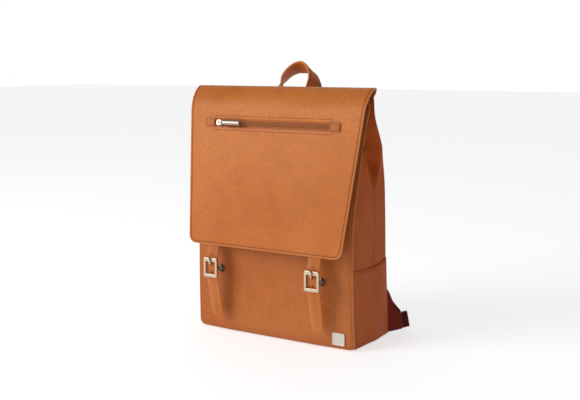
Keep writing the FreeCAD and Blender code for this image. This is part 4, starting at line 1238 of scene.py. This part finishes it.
# ---------------------------------------------------------------- closures
def make_closure(name, side):
    x = side * STRAP_X
    stations = [
        (*on_flap(x, 26.0, -4.2), 1, 0, 0, 20, 2.6),
        (*on_flap(x, 14.0, -4.2), 1, 0, 0, 20, 2.6),
        (*on_flap(x, 2.0, -4.0), 1, 0, 0, 20, 2.6),
        (x, -89.2, 132.0, 1, 0, 0, 20, 2.6),
        (x, -91.2, 124.0, 1, 0, 0, 20, 2.6),
        (x, -92.4, 114.0, 1, 0, 0, 20, 2.6),
        (x, -92.5, 104.0, 1, 0, 0, 20, 2.6),
        (x, -90.8, 92.0, 1, 0, 0, 20, 2.6),
        (x, -87.6, 76.0, 1, 0, 0, 20, 2.6),
        (x, -84.2, 60.0, 1, 0, 0, 19.6, 2.6),
        (x, -80.8, 44.0, 1, 0, 0, 19.0, 2.6),
        (x, -78.8, 34.5, 1, 0, 0, 17.6, 2.6),
        (x, -77.9, 30.0, 1, 0, 0, 14.6, 2.5),
        (x, -77.4, 27.4, 1, 0, 0, 10.6, 2.3),
        (x, -77.1, 26.0, 1, 0, 0, 6.0, 2.0),
    ]
    keys = lengths(np.array(stations)[:, :3])
    bow = keys[6] - 2.0

    def crown(at):
        return 3.4 * math.exp(-(((at - bow) / 7.5) ** 4))

    obj, _ = strap(
        "closure_leather_" + name, stations, [LOOKS["leather_trim"]], 1.6, 3.2, 0.35, crown, 0.8
    )
    holes = [
        ((x, -90.5, 127.0), (0, -1, 0.2)), ((x, -93.0, 111.6), (0, -1, 0.2)),
        ((x, -92.6, 98.6), (0, -1, 0))
    ]
    cut_holes(obj, holes, 1.35)
    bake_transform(obj)
    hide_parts("closure_strap_" + name, "closure_root_" + name)
    body = "closure_" + name
    outer, inner = rounded(12.2, 15.2, 2.0), rounded(8.9, 9.7, 1.0)
    ring = plate(
        "buckle_frame_" + name, outer, inner, 2.6, lambda u, v, w: (
            x + u, BUCKLE_FACE + 2.6 - w - 0.02 * (u / 12.2) ** 2, BUCKLE_Z + v
        ),
        LOOKS["polished_metal"], 0.6, 3, (0, -0.5)
    )
    fit(ring, body, "polished_metal", "buckle_" + name)
    path = [
        (x, -96.4, 121.4), (x, -98.2, 121.4), (x, -99.4, 120.0), (x, -99.5, 117.6), (x, -98.6, 115.0),
        (x, -97.2, 112.8), (x, -95.6, 111.2)
    ]
    path = curve(lengths(np.array(path)), np.array(path), np.linspace(0, lengths(np.array(path))[-1], 24))
    radii = np.interp(np.linspace(0, 1, 24), (0, 0.05, 0.3, 0.5, 0.95, 1), (0.8, 1.6, 2.3, 2.0, 1.3, 0.8))
    prong = tube("prong_" + name, path, radii, LOOKS["polished_metal"], 14)
    fit(prong, "prong_" + name, "polished_metal", "buckle_prong_" + name)
    ring = rounded(8.7, 15.4, 2.5)
    tab = plate(
        "snap_tab_" + name, ring, None, 1.9, lambda u, v, w: (x + u, -87.55 - w, 108.5 + v),
        LOOKS["leather_trim"], 0.6, 3
    )
    fit(tab, body, "leather_trim", "buckle_tab_" + name)
    # the snap halves take the darkened metal: painted shade for their place behind the buckle
    cap = ((0, 0), (0, 5.4), (0.5, 5.5), (1.2, 5.2), (1.4, 3.6), (3.0, 3.2), (3.5, 2.6), (3.6, 0))
    obj = lathe("snap_stud_" + name, cap, (x, -87.2, SNAP_Z), (0, 1, 0), LOOKS["snap_metal_shaded"])
    fit(obj, body, "polished_metal", "snap_male_" + name)
    dish = ((0, 0), (0, 6.0), (1.6, 6.05), (2.6, 5.6), (3.3, 4.6), (3.4, 3.8), (2.2, 3.4), (2.2, 0))
    obj = lathe("snap_cup_" + name, dish, (x, -67.4, SNAP_Z), (0, -1, 0), LOOKS["snap_metal_shaded"])
    fit(obj, "bag", "polished_metal", "snap_female_" + name)


def make_badge():
    lean = math.atan(3.2 / 114.8)
    up = np.array((0, -math.sin(lean), math.cos(lean)))
    lo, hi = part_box("badge_plate")
    spot = np.array((BADGE_X, (lo[1] + hi[1]) / 2 / MM, BADGE_Z))

    def place(u, v, w):
        return spot + np.array((u, 0, 0)) + up * v + np.array((0, -1, 0)) * (w - 0.9)

    ring = plate(
        "badge_rim", rounded(10.3, 9.4, 1.2), rounded(8.9, 8.0, 0.8), 1.7, place, LOOKS["badge_metal"],
        0.35, 3
    )
    fit(ring, "bag", "polished_metal", "badge_plate")
    face = plate("badge_face", rounded(9.5, 8.6, 0.8), None, 1.2, place, LOOKS["badge_metal"], 0.1, 1)
    fit(face, "bag", "polished_metal")


# ---------------------------------------------------------------- handle
def make_handle():
    # half the span, depth and height, then the turn and lean of the width in degrees
    arch = (
        (HANDLE_X, 5, 373, 0, 0),
        (30.5, 10.5, 382.5, 52, -3),
        (28, 15, 391, 82, -5),
        (18, 22.5, 404.6, 92, 20),
        (9.5, 26.4, 409.4, 91, 36),
        (0, 28, 410.6, 90, 46),
    )
    rows = []
    for side, half in ((-1, arch), (1, arch[-2::-1])):
        for x, y, z, turn, lean in half:
            turn, lean = math.radians(turn), math.radians(lean)
            spread = math.sin(turn)
            width = (-side * math.cos(turn), -spread * math.cos(lean), spread * math.sin(lean))
            rows.append((side * x, y, z, *width, HANDLE_WIDE, HANDLE_THICK))
    for y, z in ((5.2, 362.0), (5.5, 347.0)):
        rows.insert(0, (-HANDLE_X, y, z, 1, 0, 0, HANDLE_WIDE, HANDLE_THICK))
        rows.append((HANDLE_X, y, z, -1, 0, 0, HANDLE_WIDE, HANDLE_THICK))
    obj, data = strap("handle_leather", rows, [LOOKS["leather_trim"]], 2.0, 3.0, 0.4, None, 1.2)
    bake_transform(obj)
    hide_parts("handle", "handle_end_left", "handle_end_right")
    centre, across, face = data[0][:, :3], data[2], data[3]
    for k, sign in enumerate((-1, 1)):
        line = centre + across * sign * 9.5 + face * 1.45
        obj = stitches("handle_stitch_%d" % k, line, face, LOOKS["thread_dark"])
        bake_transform(obj)
    z = np.linspace(341.8, 365.8, 9)
    x = np.concatenate([[-62, -61, -59], np.linspace(-56, 56, 25), [59, 61, 62]])
    grid = np.array(
        [np.stack([x, 7.7 + (366 - h) * 0.02 + 2.0 + 0 * x, np.full_like(x, h)], axis=1) for h in z]
    )
    obj = oriented("handle_patch_leather", grid, TRIM, (0, 1, 0), thick=1.9, edge=0.7)
    fit(obj, "bag", "leather_trim", "handle_patch")
    ring = rounded(58.5, 8.6, 2.0)
    ring = resample(np.concatenate([ring, ring[:1]]), 1.0)
    height = ring[:, 1] + PATCH_Z
    line = np.stack([ring[:, 0], 9.75 + (366 - height) * 0.02, height], axis=1)
    sew("handle_patch_stitch", line, (0, 1, 0), "thread_dark", "bag", "leather_trim")


# ---------------------------------------------------------------- shoulder straps
def pad_mesh(name, stations, looks, sides=28, step=5.0):
    """A rounded pad through stations laid out as in strap, closed and thinner at both ends."""
    stations = np.asarray(stations, float)
    keys = lengths(stations[:, :3])
    count = int(keys[-1] / step) + 1
    rows = curve(keys, stations, np.linspace(0, keys[-1], count))
    tangent, across, face = frames(rows[:, :3], rows[:, 3:6])
    turn = np.linspace(0, math.tau, sides, endpoint=False)
    cu, su = np.cos(turn), np.sin(turn)
    u = np.sign(cu) * np.abs(cu) ** 0.55
    v = np.sign(su) * np.abs(su) ** 0.9
    points = []
    for i in range(count):
        end = min(i, count - 1 - i) * step
        taper = math.sqrt(max(0.04, 1 - max(0.0, 1 - end / 8.0) ** 2))
        half, deep = rows[i, 6] / 2 * (0.86 + 0.14 * taper), rows[i, 7] / 2 * taper
        points.append(rows[i, :3] + across[i] * (u * half)[:, None] + face[i] * (v * deep)[:, None])
    faces = grid_faces(count, sides, loop=True)
    faces.append(tuple(range(sides))[::-1])
    faces.append(tuple(range((count - 1) * sides, count * sides)))
    return make(name, np.array(points), faces, looks), (rows, tangent, across, face)


def puff(obj, pressure=4.0, cap=2.0, voxel=4.5, frames_run=20):
    """Lets a pad swell like stuffed fabric, then applies the shape."""
    remesh = obj.modifiers.new("remesh", "REMESH")
    remesh.mode = "VOXEL"
    remesh.voxel_size = voxel * MM
    settle(obj, 180)
    before = np.empty(len(obj.data.vertices) * 3)
    obj.data.vertices.foreach_get("co", before)
    before = before.reshape(-1, 3)
    soft = obj.modifiers.new("cloth", "CLOTH")
    soft.settings.quality = 6
    soft.settings.mass = 0.3
    soft.settings.tension_stiffness = 12
    soft.settings.compression_stiffness = 12
    soft.settings.bending_stiffness = 1.5
    soft.settings.use_pressure = True
    soft.settings.uniform_pressure_force = pressure
    soft.settings.effector_weights.gravity = 0.0
    soft.point_cache.frame_start, soft.point_cache.frame_end = 1, frames_run
    for number in range(1, frames_run + 1):
        scene.frame_set(number)
    depsgraph = bpy.context.evaluated_depsgraph_get()
    done = obj.evaluated_get(depsgraph).to_mesh()
    after = np.empty(len(done.vertices) * 3)
    done.vertices.foreach_get("co", after)
    after = after.reshape(-1, 3)
    obj.evaluated_get(depsgraph).to_mesh_clear()
    obj.modifiers.clear()
    move = after - before
    size = np.linalg.norm(move, axis=1, keepdims=True)
    move *= np.minimum(1.0, cap * MM / np.maximum(size, 1e-9))
    obj.data.vertices.foreach_set("co", (before + move).ravel())
    scene.frame_set(1)
    smooth = obj.modifiers.new("subdivide", "SUBSURF")
    smooth.levels = smooth.render_levels = 1
    return settle(obj, 180)


def make_shoulder(name, side):
    stations = [
        (side * YOKE_X, 25, 329, 1, 0, 0, 32, 4.6),
        (side * 49, 38, 315, 1, 0, 0, 44, 8.4),
        (side * 53, 58, 284, 1, 0, 0, 47, 9.0),
        (side * 60, 73, 235, 1, 0, 0, 47, 9.0),
        (side * 70, 81, 180, 1, 0, 0, 46, 9.0),
        (side * 81, 83, 125, 1, 0, 0, 43, 8.6),
        (side * 94, 81, 85, 1, 0, 0, 34, 6.0),
    ]
    pad, data = pad_mesh("shoulder_pad_leather_" + name, stations, LOOKS["leather_shell"])
    puff(pad)
    fit(pad, "shoulder_" + name, "leather_shell", "shoulder_pad_" + name)
    rows, _, across, face = data
    for k, sign in enumerate((-1, 1)):
        line = rows[1:-1, :3] + across[1:-1] * (sign * (rows[1:-1, 6] / 2 - 0.4))[:, None]
        pipe = tube("shoulder_binding_%s_%d" % (name, k), line, 1.9, LOOKS["leather_trim"], 10)
        fit(pipe, "shoulder_" + name, "leather_trim")
    webbing = [
        (side * 93.0, 80.9, 88.0, 1, 0, -0.1 * side, 28, 2),
        (side * 98.5, 80.9, 74.0, 1, 0, 0.25 * side, 30, 2),
        (side * 108.0, 81.2, 55.0, 0.8, 0, 0.6 * side, 30, 2),
        (side * 124.0, 82.5, 34.0, 0.45, 0, 0.9 * side, 29, 2),
        (side * 139.4, 84.4, 21.4, 0.1, 0, 1.0 * side, 23, 2),
    ]
    obj, _ = strap(
        "shoulder_webbing_weave_" + name, webbing, [LOOKS["webbing"]], 2.5, 2.5, 0.3, None, 0.6
    )
    fit(obj, "shoulder_" + name, "webbing", "shoulder_webbing_" + name)
    yoke = [
        (side * YOKE_X, 9.8, 338, 1, 0, 0, 44, 3), (side * YOKE_X, 17.4, 325, 1, 0, 0, 44, 3),
        (side * YOKE_X, 24.6, 309, 1, 0, 0, 44, 3)
    ]
    obj, data = strap(
        "shoulder_yoke_leather_" + name, yoke, [LOOKS["leather_trim"]], 2.0, 3.5, 0.35, None, 0.9
    )
    fit(obj, "bag", "leather_trim", "strap_yoke_" + name)
    rows, _, across, face = data
    for k, sign in enumerate((-1, 1)):
        line = rows[:, :3] + across * sign * 18.0 + face * 1.3
        sew("yoke_stitch_%s_%d" % (name, k), line, face, "thread_dark", "bag", "leather_trim")


def make_tab(name, side):
    turn = math.radians(TAB_TURN)
    run = np.array((side * math.cos(turn), math.sin(turn), 0.0))
    flat = np.array((-math.sin(turn) * side, math.cos(turn), 0.0))
    root = np.array((side * 140.9, 53.0, 0.0))

    def place(u, v, w):
        slant = TAB_SLANT * min(max(u / TAB_LONG, 0.0), 1.0) * max(TAB_SLANT_TOP - v, 0.0)
        return root + run * (u + slant) + np.array((0, 0, v)) + flat * (w - 1.4) * side

    reach = np.linspace(-5, 23.7, 14)
    top = curve((-5, 0, 6, 14, 23.7), (73.0, 66.0, 55.0, 42.0, 30.0), reach)
    outline = [(u, v) for u, v in zip(reach, top)]
    outline += [(24.0, 28.6), (24.0, 4.2), (22.8, 3.2), (12.0, 3.4), (-5.0, 4.0)]
    outline = np.array(outline)[::-1]
    obj = plate("strap_tab_leather_" + name, outline, None, 2.8, place, LOOKS["leather_dark"], 0.7, 3)
    fit(obj, "bag", "leather_dark", "strap_tab_" + name)
    inner = np.array(
        [(2.5, 55), (7, 47.5), (14, 37), (21, 28), (21, 6.4), (12, 6.6), (2.5, 7), (2.5, 55)], float
    )
    inner = resample(inner, 1.0)
    for k, w in enumerate((0.0, 2.8)):
        line = np.array([place(u, v, w) for u, v in inner])
        sign = -1 if w == 0 else 1
        sew(
            "tab_stitch_%s_%d" % (name, k), line, flat * sign * side, "thread_dark", "bag", "leather_dark"
        )
    # the bar adjuster: two openings either side of a middle bar, leaning with the strap
    u0, wide, high, low = 24.4, 15.6, 26.6, 4.2
    for part in (0, 1):
        middle = u0 + wide * (0.25 + 0.5 * part)
        ring = plate(
            "adjuster_%s_%d" % (name, part),
            rounded(wide / 4, high / 2, 1.0),
            rounded(wide / 4 - 1.7, high / 2 - 2.6, 0.6),
            3.4,
            lambda u, v, w: place(middle + u, low + v + high / 2, w - 0.3),
            LOOKS["adjuster_metal"], 0.6, 3
        )
        fit(ring, "bag", "adjuster_metal", *(("adjuster_" + name,) if part == 0 else ()))
    # the strap's fold of webbing round the adjuster's bars
    turn = np.linspace(0, math.tau, 25)[:-1]
    loops = []
    for v in np.linspace(low + 1.6, low + high - 1.6, 9):
        loops.append(
            [place(u0 + wide / 2 + 0.2 + 8.4 * math.cos(a), v, 1.4 + 3.7 * math.sin(a)) for a in turn]
        )
    rings, count = len(loops), len(turn)
    faces = grid_faces(rings, count, loop=True)
    faces += [tuple(range(count))[::-1], tuple(range((rings - 1) * count, rings * count))]
    if side < 0:
        faces = [face[::-1] for face in faces]
    obj = make("adjuster_fold_" + name, np.array(loops), faces, LOOKS["webbing"])
    fit(soften(obj, 0.8, 3, 60), "bag", "webbing")


make_front()
make_sides()
make_back()
make_base()
make_inside()
make_flap()
make_zip()
for side_name, side_sign in SIDES:
    make_closure(side_name, side_sign)
    make_shoulder(side_name, side_sign)
    make_tab(side_name, side_sign)
make_badge()
make_handle()

scene.view_settings.view_transform = "Standard"
scene.view_settings.look = "None"
